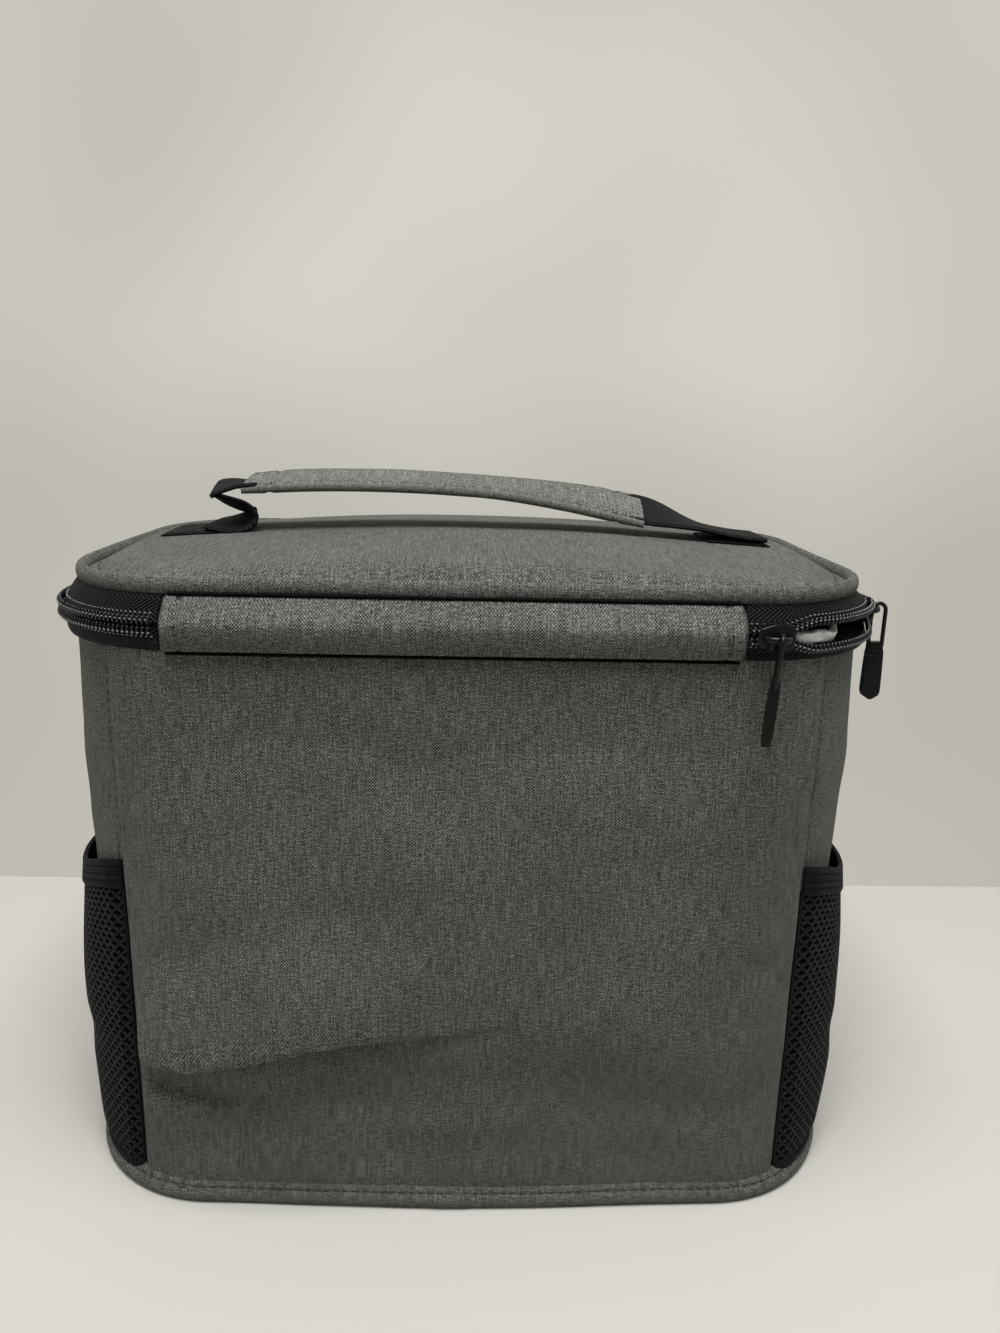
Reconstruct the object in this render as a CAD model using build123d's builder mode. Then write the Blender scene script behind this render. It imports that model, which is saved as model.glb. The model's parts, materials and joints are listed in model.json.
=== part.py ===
"""Soft insulated lunch bag: a foam-lined fabric box with a zipped lid, mesh side pockets and a strap handle.

The bag stands on its base at z = 0, centred on the origin. -Y is the hinge side, where a fabric strip joins
the lid to the body; +Y is the opening side. The zip runs from one end of the hinge strip round the other
three sides to its other end. Millimetres throughout.
"""

import os
from math import asin, cos, degrees, radians, sin

from build123d import *

os.makedirs("parts", exist_ok=True)

# Plan of the bag and the layers of its walls.
body_width = 254.0
body_depth = 160.0
corner_radius = 44.0
fabric = 1.2
foam = 4.5
lining = 0.6
tape_binding = 0.8
seam_x = 107.0  # where the side gussets meet the front and back panels, on the corner arcs

# Heights, from the base up.
base_foam_top = fabric + foam
wall_top = 188.0
rim_top = wall_top + 1.2
band_low = 186.5  # lower edge of the zip band
zip_mid = 194.0
lid_low = 201.5  # upper edge of the zip band and underside of the lid
lid_edge_tape_top = lid_low + tape_binding
lid_top = 215.0
tall = 400.0

# Crown of the lid: a barrel, curved gently both ways.
crown_radius_x = 1150.0
crown_radius_y = 530.0

# Piping round the base and the lid.
piping_out = 2.4
piping_high = 4.8
piping_round = 1.1
base_piping_low = 0.5

# Zip: tapes, coil rows and the strip between the zip's two ends.
zip_tape = 0.7
coil_out = 2.4
row_high = 2.6
row_gap = 1.2
strip_left = -88.0
strip_right = 80.0
strip_bulge = 4.0
strip_clearance = 0.3
fixed_end_x = 99.0  # the upper tape is sewn down from the strip to here

# Side pockets.
pocket_width = 2 * 135.6
pocket_radius = 46.0
pocket_wall = 1.6
pocket_low = 5.6
pocket_top = 118.0
elastic_high = 10.0
elastic_extra = 0.5

# Sliders and their pulls, in a slider's own frame: x along the zip, -y outwards, z up.
slider_long = 12.0
slider_high = 8.6
slider_corner = 2.2
inner_plate = (-2.1, -0.9)  # inwards and outwards faces, measured outwards from the panel
outer_plate = (3.5, 4.7)
web_long = 4.0
web_high = 0.6
bar_out = 7.6
bar_radius = 0.5
post_half = 4.4
post_thick = 1.2
wire_radius = 0.7
loop_radius = 2.3
loop_out = 8.2
loop_centre_z = -0.6
tab_top = -12.0
tab_long = 19.0
tab_wide = 6.4
tab_thick = 3.0
slider_a_angle = 5.0  # past the start of the corner arc
slider_b_angle = 90.0  # the end of the same arc

# Handle: a strap on an arc, with webbing from each end to the lid.
strap_wide = 27.0
strap_thick = 5.0
strap_round = 2.2
webbing_wide = 25.0
webbing_thick = 1.4
strap_radius = 487.0
strap_apex = (-34.0, 230.0)
strap_left = -79.0
strap_right = 60.0
anchor_inner = 82.0
anchor_left_end = 107.0
anchor_right_end = 104.0
anchor_lift = 0.1


def save(builder, name):
    """Labels a finished piece and writes it as one STEP file."""
    builder.part.label = name
    export_step(builder.part, f"parts/{name}.step")


def outline(grown_by, mode=Mode.ADD):
    """The bag's plan, a rounded rectangle, grown outwards by grown_by."""
    RectangleRounded(
        body_width + 2 * grown_by, body_depth + 2 * grown_by, corner_radius + grown_by, mode=mode
    )


def ring(outer, inner, low, high):
    """A wall that follows the plan, between two offsets and two heights."""
    with BuildPart() as wall:
        with BuildSketch(Plane.XY.offset(low)):
            outline(outer)
            outline(inner, Mode.SUBTRACT)
        extrude(amount=high - low)
    return wall


def block(x_range, y_range, mode):
    """A tall block over a range of x and y, to keep or to cut away part of a wall."""
    centre = (sum(x_range) / 2, sum(y_range) / 2, tall / 2)
    with Locations(centre):
        Box(x_range[1] - x_range[0], y_range[1] - y_range[0], tall, mode=mode)


def crown(raised_by):
    """The barrel that shapes the lid's top, with its surface raised by raised_by."""
    axis_z = lid_top - crown_radius_y
    half = body_width
    top_z = lid_top + raised_by
    edge_z = lid_top - crown_radius_x + ((crown_radius_x + raised_by) ** 2 - half**2) ** 0.5
    with BuildPart() as barrel:
        with BuildSketch(Plane.XZ):
            with BuildLine():
                ThreePointArc((-half, edge_z), (0, top_z), (half, edge_z))
                Polyline((half, edge_z), (half, axis_z), (-half, axis_z), (-half, edge_z))
            make_face()
        revolve(axis=Axis((0, 0, axis_z), (1, 0, 0)))
    return barrel


# ---------------------------------------------------------------- body: base

with BuildPart() as base_panel:
    with BuildSketch():
        outline(0)
    extrude(amount=fabric)
save(base_panel, "base_panel")

with BuildPart() as base_foam:
    with BuildSketch(Plane.XY.offset(fabric)):
        outline(-fabric)
    extrude(amount=foam)
save(base_foam, "base_foam")


def piping(low):
    """A rounded cord of fabric round the outside of the plan."""
    with BuildPart() as cord:
        add(ring(piping_out, 0, low, low + piping_high).part)
        outer_faces = cord.faces().filter_by(Axis.Z, reverse=True)
        grown = [face for face in outer_faces if is_outer(face)]
        rims = [edge for face in grown for edge in face.edges() if is_level(edge)]
        fillet(rims, radius=piping_round)
    return cord


def is_outer(face):
    """Whether a wall face lies on the outside of the piping."""
    point = face.center(CenterOf.GEOMETRY)
    return face.normal_at(point).dot(Vector(point.X, point.Y, 0)) > 0


def is_level(edge):
    """Whether an edge runs horizontally."""
    return abs((edge @ 0).Z - (edge @ 1).Z) < 1e-6


base_piping = piping(base_piping_low)
save(base_piping, "base_piping")

# ---------------------------------------------------------------- body: walls

side_ranges = {
    "back": ((-seam_x, seam_x), (-body_depth, 0)),
    "front": ((-seam_x, seam_x), (0, body_depth)),
    "left": ((-body_width, -seam_x), (-body_depth, body_depth)),
    "right": ((seam_x, body_width), (-body_depth, body_depth)),
}
outer_names = {"back": "back_panel", "front": "front_panel", "left": "left_gusset", "right": "right_gusset"}

for side, (x_range, y_range) in side_ranges.items():
    with BuildPart() as wall_fabric:
        add(ring(0, -fabric, fabric, wall_top).part)
        block(x_range, y_range, Mode.INTERSECT)
    save(wall_fabric, outer_names[side])

    with BuildPart() as wall_foam:
        add(ring(-fabric, -fabric - foam, base_foam_top, wall_top).part)
        block(x_range, y_range, Mode.INTERSECT)
    save(wall_foam, f"{side}_foam")

with BuildPart() as body_lining:
    with BuildSketch(Plane.XY.offset(base_foam_top)):
        outline(-fabric - foam)
    extrude(amount=wall_top - base_foam_top)
    with BuildSketch(Plane.XY.offset(base_foam_top + lining)):
        outline(-fabric - foam - lining)
    extrude(amount=wall_top, mode=Mode.SUBTRACT)
save(body_lining, "body_lining")

inner_skirt = 7.0
with BuildPart() as rim_binding:
    add(ring(0, -fabric - foam - lining - tape_binding, wall_top, rim_top).part)
    add(ring(-fabric - foam - lining, -fabric - foam - lining - tape_binding, wall_top - inner_skirt, rim_top).part)
save(rim_binding, "rim_binding")

# ---------------------------------------------------------------- body: side pockets


def pocket_outline(grown_by, mode=Mode.ADD):
    """The pockets' bulged plan, wider than the bag but no deeper."""
    RectangleRounded(
        pocket_width + 2 * grown_by, body_depth + 2 * grown_by, pocket_radius + grown_by, mode=mode
    )


def pocket_shell(side_sign, low, high, grown_by, floor):
    """One pocket's wall between two heights, sewn to the panels at its edges, with a floor if floor > 0."""
    edge = seam_x + pocket_wall
    with BuildPart() as shell:
        with BuildSketch(Plane.XY.offset(low)):
            pocket_outline(grown_by)
            outline(0, Mode.SUBTRACT)
        extrude(amount=high - low)
        with BuildSketch(Plane.XY.offset(low + floor)):
            pocket_outline(-pocket_wall)
            outline(0, Mode.SUBTRACT)
            Rectangle(2 * edge, tall, mode=Mode.SUBTRACT)
        extrude(amount=high - low, mode=Mode.SUBTRACT)
        ends = sorted((side_sign * seam_x, side_sign * body_width))
        block(ends, (-body_depth, body_depth), Mode.INTERSECT)
    return shell


elastic_low = pocket_top - elastic_high
for side, side_sign in (("left", -1), ("right", 1)):
    save(pocket_shell(side_sign, pocket_low, elastic_low, 0, pocket_wall), f"{side}_pocket_mesh")
    save(pocket_shell(side_sign, elastic_low, pocket_top, elastic_extra, 0), f"{side}_pocket_elastic")

# ---------------------------------------------------------------- zip band


def zip_ring(outer, inner, low, high, x_from=strip_right):
    """A run of tape or coil round the zipped sides; x_from is where it starts beside the hinge strip."""
    run = ring(outer, inner, low, high)
    with BuildPart() as cut:
        add(run.part)
        block((strip_left, x_from), (-body_depth, -body_depth / 2 + corner_radius), Mode.SUBTRACT)
    return cut


def fixed_end(outer, inner, low, high):
    """The short run of the upper half that is sewn down beside the hinge strip."""
    run = ring(outer, inner, low, high)
    with BuildPart() as kept:
        add(run.part)
        block((strip_right, fixed_end_x), (-body_depth, -body_depth / 2 + corner_radius), Mode.INTERSECT)
    return kept


lower_row_top = zip_mid - row_gap / 2
upper_row_low = zip_mid + row_gap / 2
coil_face = zip_tape + coil_out
end_clearance = 0.4

save(zip_ring(zip_tape, 0, band_low, lower_row_top), "lower_zip_tape")
save(zip_ring(coil_face, zip_tape, lower_row_top - row_high, lower_row_top), "lower_zip_coil")
moving_start = fixed_end_x + end_clearance
save(zip_ring(zip_tape, 0, upper_row_low, lid_low, moving_start), "upper_zip_tape")
save(zip_ring(coil_face, zip_tape, upper_row_low, upper_row_low + row_high, moving_start), "upper_zip_coil")
fixed_top = lid_low - end_clearance
save(fixed_end(zip_tape, 0, upper_row_low, fixed_top), "upper_tape_fixed_end")
save(fixed_end(coil_face, zip_tape, upper_row_low, upper_row_low + row_high), "upper_coil_fixed_end")

back_face = -body_depth / 2
strip_top = lid_low - strip_clearance
with BuildPart() as hinge_strip:
    with BuildSketch(Plane.YZ.offset(strip_left)):
        with BuildLine():
            outer_arc = ThreePointArc(
                (back_face, band_low), (back_face - strip_bulge, zip_mid), (back_face, strip_top)
            )
            inner_arc = ThreePointArc(
                (back_face, band_low + fabric),
                (back_face - strip_bulge + fabric, zip_mid),
                (back_face, strip_top - fabric),
            )
            Line(outer_arc @ 0, inner_arc @ 0)
            Line(outer_arc @ 1, inner_arc @ 1)
        make_face()
    extrude(amount=strip_right - strip_left)
save(hinge_strip, "hinge_strip")

# ---------------------------------------------------------------- lid


def crowned_layer(grown_by, depth_top, depth_low):
    """A layer of the lid that follows its crown, between two depths under the surface."""
    with BuildPart() as layer:
        with BuildSketch(Plane.XY.offset(lid_edge_tape_top)):
            outline(grown_by)
        extrude(amount=tall)
        add(crown(-depth_top).part, mode=Mode.INTERSECT)
        add(crown(-depth_low).part, mode=Mode.SUBTRACT)
    return layer


lid_lining_depth = fabric + foam
save(crowned_layer(0, 0, fabric), "lid_panel")
save(crowned_layer(0, fabric, lid_lining_depth), "lid_foam")
save(crowned_layer(-foam, lid_lining_depth, lid_lining_depth + lining), "lid_lining")
save(ring(0, -fabric - foam - lining, lid_low, lid_edge_tape_top), "lid_seam_tape")
lid_piping = piping(lid_low)
save(lid_piping, "lid_piping")

# ---------------------------------------------------------------- sliders and pulls

arc_centre = (body_width / 2 - corner_radius, corner_radius - body_depth / 2)


def slider_plane(angle):
    """The frame of a slider parked at an angle round the corner: x along the zip, -y outwards."""
    turn = radians(angle)
    origin = (
        arc_centre[0] + corner_radius * sin(turn),
        arc_centre[1] - corner_radius * cos(turn),
        zip_mid,
    )
    return Plane(origin=origin, x_dir=(cos(turn), sin(turn), 0), z_dir=(0, 0, 1))


def slider_body(plane, nose):
    """Two plates over the coil rows, the web between the rows at the nose, and the bridge for the pull."""
    upright = Plane(origin=plane.origin, x_dir=plane.x_dir, z_dir=-plane.y_dir)
    with BuildPart(plane) as body:
        for face_in, face_out in (inner_plate, outer_plate):
            with BuildSketch(upright.offset(face_in)):
                RectangleRounded(slider_long, slider_high, slider_corner)
            extrude(amount=face_out - face_in)
        web_x = nose * (slider_long - web_long - fabric) / 2
        web_out = (inner_plate[1] + outer_plate[0]) / 2
        with Locations((web_x, -web_out, 0)):
            Box(web_long, outer_plate[0] - inner_plate[1], web_high)
        for end in (-1, 1):
            with Locations((end * (post_half - post_thick / 2), -(outer_plate[1] + bar_out) / 2, 0)):
                Box(post_thick, bar_out - outer_plate[1] + bar_radius, 2 * bar_radius)
        with Locations(Location((0, -bar_out, 0), (0, 90, 0))):
            Cylinder(bar_radius, 2 * post_half)
    return body


def loop_plane(plane):
    """The upright plane across a slider in which its pull hangs: x outwards, y up."""
    return Plane(origin=plane.origin, x_dir=-plane.y_dir, z_dir=-plane.x_dir)


def pull_wire(plane):
    """The wire loop that hooks over the slider's bar and carries the tab."""
    near, far = loop_out - loop_radius, loop_out + loop_radius
    with BuildPart() as wire:
        with BuildLine(loop_plane(plane)) as path:
            Line((near, tab_top), (near, loop_centre_z))
            ThreePointArc(
                (near, loop_centre_z), (loop_out, loop_centre_z + loop_radius), (far, loop_centre_z)
            )
            Line((far, loop_centre_z), (far, tab_top))
        with BuildSketch(Plane(origin=path.line @ 0, z_dir=path.line % 0)):
            Circle(wire_radius)
        sweep()
    return wire


def pull_tab(plane):
    """The moulded grip on the end of the wire."""
    tab_plane = loop_plane(plane)
    with BuildPart() as tab:
        with BuildSketch(tab_plane.offset(-tab_thick / 2)):
            with Locations((loop_out, tab_top - tab_long / 2)):
                RectangleRounded(tab_wide, tab_long, 2.4)
        extrude(amount=tab_thick)
        fillet(tab.edges().filter_by(GeomType.CIRCLE), radius=0.6)
    return tab


for letter, angle, nose in (("a", slider_a_angle, 1), ("b", slider_b_angle, -1)):
    frame = slider_plane(angle)
    save(slider_body(frame, nose), f"slider_{letter}_body")
    save(pull_wire(frame), f"pull_{letter}_wire")
    save(pull_tab(frame), f"pull_{letter}_tab")

# ---------------------------------------------------------------- handle

strap_centre = (strap_apex[0], strap_apex[1] - strap_radius)


def strap_angle(x):
    """The angle from the strap's apex at which it reaches x."""
    return degrees(asin((x - strap_centre[0]) / strap_radius))


def strap_point(x):
    """The middle of the strap at x, as (x, z)."""
    turn = radians(strap_angle(x))
    return (strap_centre[0] + strap_radius * sin(turn), strap_centre[1] + strap_radius * cos(turn))


def strap_part(wide, thick, corner, hollow=None):
    """A length of strap bent on the handle's arc, solid or with a slot through it."""
    start, sweep_angle = strap_angle(strap_left), strap_angle(strap_right) - strap_angle(strap_left)
    x, z = strap_point(strap_left)
    along = Vector(cos(radians(start)), 0, -sin(radians(start)))
    with BuildPart() as strap:
        with BuildSketch(Plane(origin=(x, 0, z), x_dir=(0, 1, 0), z_dir=along)):
            RectangleRounded(wide, thick, corner)
            if hollow:
                RectangleRounded(*hollow, mode=Mode.SUBTRACT)
        revolve(axis=Axis((strap_centre[0], 0, strap_centre[1]), (0, 1, 0)), revolution_arc=sweep_angle)
    return strap


webbing_round = 0.6
core = (webbing_wide, webbing_thick, webbing_round)
save(strap_part(strap_wide, strap_thick, strap_round, core), "handle_sleeve")
save(strap_part(*core), "handle_core")


def crown_height(x):
    """The height of the crown's surface over the x axis."""
    return lid_top - crown_radius_x + (crown_radius_x**2 - x**2) ** 0.5


def anchor(x_range):
    """The sewn-down end of the webbing, lying on the crown."""
    with BuildPart() as patch:
        add(crown(anchor_lift + webbing_thick).part)
        add(crown(anchor_lift).part, mode=Mode.SUBTRACT)
        block(x_range, (-webbing_wide / 2, webbing_wide / 2), Mode.INTERSECT)
    return patch


def leg(points, radii):
    """Loose webbing between an anchor and the strap, along filleted straight runs given as (x, z)."""
    with BuildPart() as band:
        with BuildLine(Plane.XZ) as path:
            FilletPolyline(*points, radius=radii)
        with BuildSketch(Plane(origin=path.line @ 0, x_dir=(0, 1, 0), z_dir=path.line % 0)):
            Rectangle(webbing_wide, webbing_thick)
        sweep(transition=Transition.ROUND)
    return band


save(anchor((-anchor_left_end, -anchor_inner)), "handle_anchor_left")
save(anchor((anchor_inner, anchor_right_end)), "handle_anchor_right")

leg_gap = 0.3
leg_start_z = crown_height(anchor_inner) + anchor_lift + webbing_thick / 2
left_x, left_z = strap_point(strap_left - leg_gap)
save(
    leg(
        [(-anchor_inner + leg_gap, leg_start_z), (-70.0, 215.4), (-94.0, 223.2), (left_x, left_z)],
        [1.5, 2.0],
    ),
    "handle_leg_left",
)
right_x, right_z = strap_point(strap_right + leg_gap)
save(
    leg([(right_x, right_z), (72.0, 216.4), (anchor_inner - leg_gap, leg_start_z)], [20.0]),
    "handle_leg_right",
)
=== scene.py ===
"""Soft insulated lunch bag: sewn panels over foam, a zipped lid, mesh side pockets and a strap handle."""

import json
from math import asin, cos, pi, radians, sin, sqrt

import bpy
from mathutils import Matrix, Vector, noise
from mathutils.bvhtree import BVHTree


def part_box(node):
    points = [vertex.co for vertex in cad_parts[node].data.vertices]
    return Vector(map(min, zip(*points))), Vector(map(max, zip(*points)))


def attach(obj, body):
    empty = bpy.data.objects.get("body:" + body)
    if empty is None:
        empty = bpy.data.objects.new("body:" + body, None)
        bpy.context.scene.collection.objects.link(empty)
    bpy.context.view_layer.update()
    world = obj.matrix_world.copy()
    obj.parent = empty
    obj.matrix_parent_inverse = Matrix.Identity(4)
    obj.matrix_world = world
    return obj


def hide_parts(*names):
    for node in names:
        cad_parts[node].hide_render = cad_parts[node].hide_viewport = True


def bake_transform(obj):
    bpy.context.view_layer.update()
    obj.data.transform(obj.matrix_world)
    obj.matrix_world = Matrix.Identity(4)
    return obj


bl_info = {
    "name": "Lunch bag",
    "version": (1, 0, 0),
    "blender": (4, 5, 0),
    "location": "View3D > Sidebar > Lunch bag",
    "description": "Builds a soft insulated lunch bag piece by piece",
    "category": "Object",
}

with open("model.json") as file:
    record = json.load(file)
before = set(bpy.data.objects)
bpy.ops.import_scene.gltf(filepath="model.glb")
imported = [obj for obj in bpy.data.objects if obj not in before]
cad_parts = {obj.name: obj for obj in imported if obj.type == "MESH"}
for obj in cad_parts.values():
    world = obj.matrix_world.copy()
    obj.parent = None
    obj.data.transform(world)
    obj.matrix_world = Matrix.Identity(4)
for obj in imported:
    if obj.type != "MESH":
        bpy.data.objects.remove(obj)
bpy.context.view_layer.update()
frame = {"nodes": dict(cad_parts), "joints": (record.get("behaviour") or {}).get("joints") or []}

MM = 0.001
HALF_WIDTH, HALF_DEPTH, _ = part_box("base_panel")[1]
WALL_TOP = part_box("back_panel")[1].z
RIM_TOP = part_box("rim_binding")[1].z
LID_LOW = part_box("lid_seam_tape")[0].z
BAND_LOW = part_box("lower_zip_tape")[0].z
STRIP_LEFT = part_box("hinge_strip")[0].x
STRIP_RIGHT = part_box("hinge_strip")[1].x
SEAM_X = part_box("back_panel")[1].x
POCKET_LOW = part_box("left_pocket_mesh")[0].z
POCKET_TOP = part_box("left_pocket_elastic")[1].z
ELASTIC_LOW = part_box("left_pocket_elastic")[0].z
joints = {joint["name"]: joint for joint in frame["joints"]}
HINGE = Vector(joints["lid_hinge"]["pos_m"])
CORNER = Vector(joints["slider_a_travel"]["pos_m"])
RADIUS = HALF_WIDTH - CORNER.x
STRAIGHT_X = CORNER.x
STRAIGHT_Y = -CORNER.y
QUARTER = RADIUS * pi / 2
ROUND_TRIP = 4 * STRAIGHT_X + 4 * STRAIGHT_Y + 4 * QUARTER
SEAM_S = STRAIGHT_X + RADIUS * asin((SEAM_X - STRAIGHT_X) / RADIUS)
RIM_IN = 5.0 * MM  # how far the lid's edge stands in from the plan
SLIDER_A_ANGLE, SLIDER_B_ANGLE = 5.0, 90.0  # where the sliders are parked round the first corner, in degrees
PULL_OUT = 8.2 * MM  # how far out from the zip's plan the pulls hang
WEBBING_HALF = 12.5 * MM  # half the width of the handle's webbing


# ---------------------------------------------------------------- sizes and colours


def measure(name, description, value):
    """A size that a user would change."""
    return bpy.props.FloatProperty(name=name, description=description, default=value, unit="LENGTH")


class BagSizes(bpy.types.PropertyGroup):
    """Sizes of the soft pieces."""

    fabric: measure("Fabric", "Thickness of the outer fabric", 1.0 * MM)
    bulge: measure("Bulge", "How far the walls swell between their seams", 4.6 * MM)
    fold: measure("Fold", "Depth of the long fold low on the back", 5.4 * MM)
    thread: measure("Thread pitch", "Distance between the fabric's threads", 0.47 * MM)
    tooth: measure("Tooth pitch", "Distance between the zip's teeth", 1.5 * MM)
    stitch: measure("Stitch pitch", "Distance between stitches", 3.1 * MM)
    mesh_wide: measure("Mesh pitch", "Distance between the holes of the pocket mesh", 3.4 * MM)
    mesh_high: measure("Mesh rows", "Height of a pair of rows of holes", 4.2 * MM)
    zip_gap: measure("Zip gap", "How far each row stands off where the zip is open", 2.5 * MM)


def colour(name, description, value):
    """A colour that a user would change."""
    return bpy.props.FloatVectorProperty(
        name=name, description=description, default=value, subtype="COLOR", min=0.0, max=1.0
    )


class BagColours(bpy.types.PropertyGroup):
    """Colours of the bag's finishes."""

    dark_thread: colour("Dark thread", "The darker yarn of the heather fabric", (0.0205, 0.0214, 0.0196))
    light_thread: colour("Light thread", "The lighter yarn of the heather fabric", (0.174, 0.179, 0.166))
    black: colour("Black textile", "Webbing, tape, elastic and mesh", (0.0060, 0.0060, 0.0064))
    lining: colour("Lining", "The coated film inside", (0.82, 0.83, 0.84))
    foam: colour("Foam", "The foam sheets in the walls", (0.80, 0.80, 0.77))
    floor: colour("Floor", "The floor the bag stands on", (0.545, 0.535, 0.505))
    wall: colour("Background", "The light around the bag", (0.76, 0.735, 0.655))


def sizes():
    return bpy.context.scene.bag_sizes


def colours():
    return bpy.context.scene.bag_colours


# ---------------------------------------------------------------- the plan of the bag


# Each run of the plan: its length, its start (or its corner's centre), its direction (None at a corner), and the
# way it faces at its start, in degrees.
RUNS = (
    (STRAIGHT_X, Vector((0, -HALF_DEPTH, 0)), Vector((1, 0, 0)), -90),
    (QUARTER, Vector((STRAIGHT_X, -STRAIGHT_Y, 0)), None, -90),
    (2 * STRAIGHT_Y, Vector((HALF_WIDTH, -STRAIGHT_Y, 0)), Vector((0, 1, 0)), 0),
    (QUARTER, Vector((STRAIGHT_X, STRAIGHT_Y, 0)), None, 0),
    (2 * STRAIGHT_X, Vector((STRAIGHT_X, HALF_DEPTH, 0)), Vector((-1, 0, 0)), 90),
    (QUARTER, Vector((-STRAIGHT_X, STRAIGHT_Y, 0)), None, 90),
    (2 * STRAIGHT_Y, Vector((-HALF_WIDTH, STRAIGHT_Y, 0)), Vector((0, -1, 0)), 180),
    (QUARTER, Vector((-STRAIGHT_X, -STRAIGHT_Y, 0)), None, 180),
    (STRAIGHT_X, Vector((-STRAIGHT_X, -HALF_DEPTH, 0)), Vector((1, 0, 0)), 270),
)


def plan(s, out=0.0):
    """The point at a distance s round the bag's plan, from the middle of the hinge side towards +X, and the
    outward direction there."""
    s = s % ROUND_TRIP
    for run, start, along, facing in RUNS:
        if s <= run:
            break
        s -= run
    turn = radians(facing) + (s / RADIUS if along is None else 0.0)
    normal = Vector((cos(turn), sin(turn), 0))
    if along is None:
        return start + normal * (RADIUS + out), normal
    return start + along * s + normal * out, normal


def on_bag(s, out, z):
    """A point given round the plan, outwards and up, as a place in space."""
    point, _ = plan(s, out)
    return Vector((point.x, point.y, z))


def ease(t):
    """A smooth step from 0 to 1."""
    t = min(max(t, 0.0), 1.0)
    return t * t * (3 - 2 * t)


def signed(s):
    """A distance round the plan, from minus half the way round to half."""
    return (s + ROUND_TRIP / 2) % ROUND_TRIP - ROUND_TRIP / 2


# ---------------------------------------------------------------- making and finishing pieces


def deselect():
    """Leaves nothing selected."""
    if bpy.context.object and bpy.context.object.mode != "OBJECT":
        bpy.ops.object.mode_set(mode="OBJECT")
    bpy.ops.object.select_all(action="DESELECT")


def pick(obj):
    """Makes one object the selected and active one."""
    deselect()
    obj.select_set(True)
    bpy.context.view_layer.objects.active = obj


def apply(obj, kind, **settings):
    """Adds a modifier, sets it and applies it."""
    pick(obj)
    modifier = obj.modifiers.new(kind.lower(), kind)
    for key, value in settings.items():
        setattr(modifier, key, value)
    bpy.ops.object.modifier_apply(modifier=modifier.name)


def edit(obj, *steps):
    """Runs edit mode operators on the whole of a piece."""
    pick(obj)
    bpy.ops.object.mode_set(mode="EDIT")
    bpy.ops.mesh.select_all(action="SELECT")
    for step, settings in steps:
        step(**settings)
    bpy.ops.object.mode_set(mode="OBJECT")


def face_out(obj, *steps):
    """Runs edit mode operators on the whole of a piece, then turns every face outwards."""
    edit(obj, *steps, (bpy.ops.mesh.normals_make_consistent, {"inside": False}))


def tidy(obj, gap=0.01 * MM):
    """Closes seams and turns every face outwards."""
    face_out(obj, (bpy.ops.mesh.remove_doubles, {"threshold": gap}))


def select_edges(obj, wanted):
    """Selects the edges that are wanted, and stays in edit mode."""
    pick(obj)
    bpy.ops.object.mode_set(mode="EDIT")
    bpy.ops.mesh.select_all(action="DESELECT")
    bpy.ops.object.mode_set(mode="OBJECT")
    for edge in obj.data.edges:
        edge.select = wanted(*(obj.data.vertices[i].co for i in edge.vertices))
    bpy.ops.object.mode_set(mode="EDIT")


def cap(obj):
    """Closes the open ends of a tube."""
    edit(obj, (bpy.ops.mesh.fill_holes, {"sides": 0}))
    tidy(obj)


def smooth(obj, angle=60):
    pick(obj)
    bpy.ops.object.shade_smooth_by_angle(angle=radians(angle))


def grid(name, u_range, v_range, u_steps, v_steps):
    """A flat grid over two ranges, lying in the XY plane."""
    deselect()
    bpy.ops.mesh.primitive_grid_add(x_subdivisions=u_steps, y_subdivisions=v_steps, size=1)
    obj = bpy.context.object
    obj.name = name
    width, height = u_range[1] - u_range[0], v_range[1] - v_range[0]
    move = Matrix.Translation(((u_range[0] + u_range[1]) / 2, (v_range[0] + v_range[1]) / 2, 0))
    obj.data.transform(move @ Matrix.Diagonal((width, height, 1, 1)))
    return obj


def unwrap(obj, flat=lambda co: (co.x, co.y)):
    """Gives each corner its flat place as the UV map."""
    mesh = obj.data
    layer = mesh.uv_layers.get("UVMap") or mesh.uv_layers.new(name="UVMap")
    for loop in mesh.loops:
        layer.data[loop.index].uv = flat(mesh.vertices[loop.vertex_index].co)


def lay(obj, place):
    """Moves each vertex from its flat place to its place on the bag, and keeps the flat place as the UV map."""
    unwrap(obj)
    for vertex in obj.data.vertices:
        vertex.co = place(vertex.co.x, vertex.co.y)
    obj.data.update()


def band(name, s_range, profile, step=2.5 * MM, shift=None, closed=True):
    """A strip with a constant profile of (outwards, up) points, run round the plan; shift adds to a point."""
    lengths = [0.0]
    points = [Vector(p) for p in profile]
    if closed:
        points.append(points[0].copy())
    for a, b in zip(points, points[1:]):
        lengths.append(lengths[-1] + (b - a).length)
    steps = max(int((s_range[1] - s_range[0]) / step), 2)
    obj = grid(name, s_range, (0, len(points) - 1), steps, len(points) - 1)
    unwrap(obj, lambda co: (co.x, lengths[round(co.y)]))
    for vertex in obj.data.vertices:
        s = vertex.co.x
        out, z = points[round(vertex.co.y)]
        if shift:
            more_out, more_z = shift(s, out, z)
            out, z = out + more_out, z + more_z
        vertex.co = on_bag(s, out, z)
    tidy(obj)
    if closed and abs(s_range[1] - s_range[0] - ROUND_TRIP) > 0.5 * MM:
        cap(obj)
    smooth(obj)
    return obj


def from_mm(points, out=0.0, z=0.0):
    """A profile from points in millimetres, moved outwards and up."""
    return [(out + x * MM, z + y * MM) for x, y in points]


def oval(out, z, half_out, half_z, points):
    """An oval profile."""
    turns = [2 * pi * i / points for i in range(points)]
    return [(out + half_out * cos(t), z + half_z * sin(t)) for t in turns]


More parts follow.
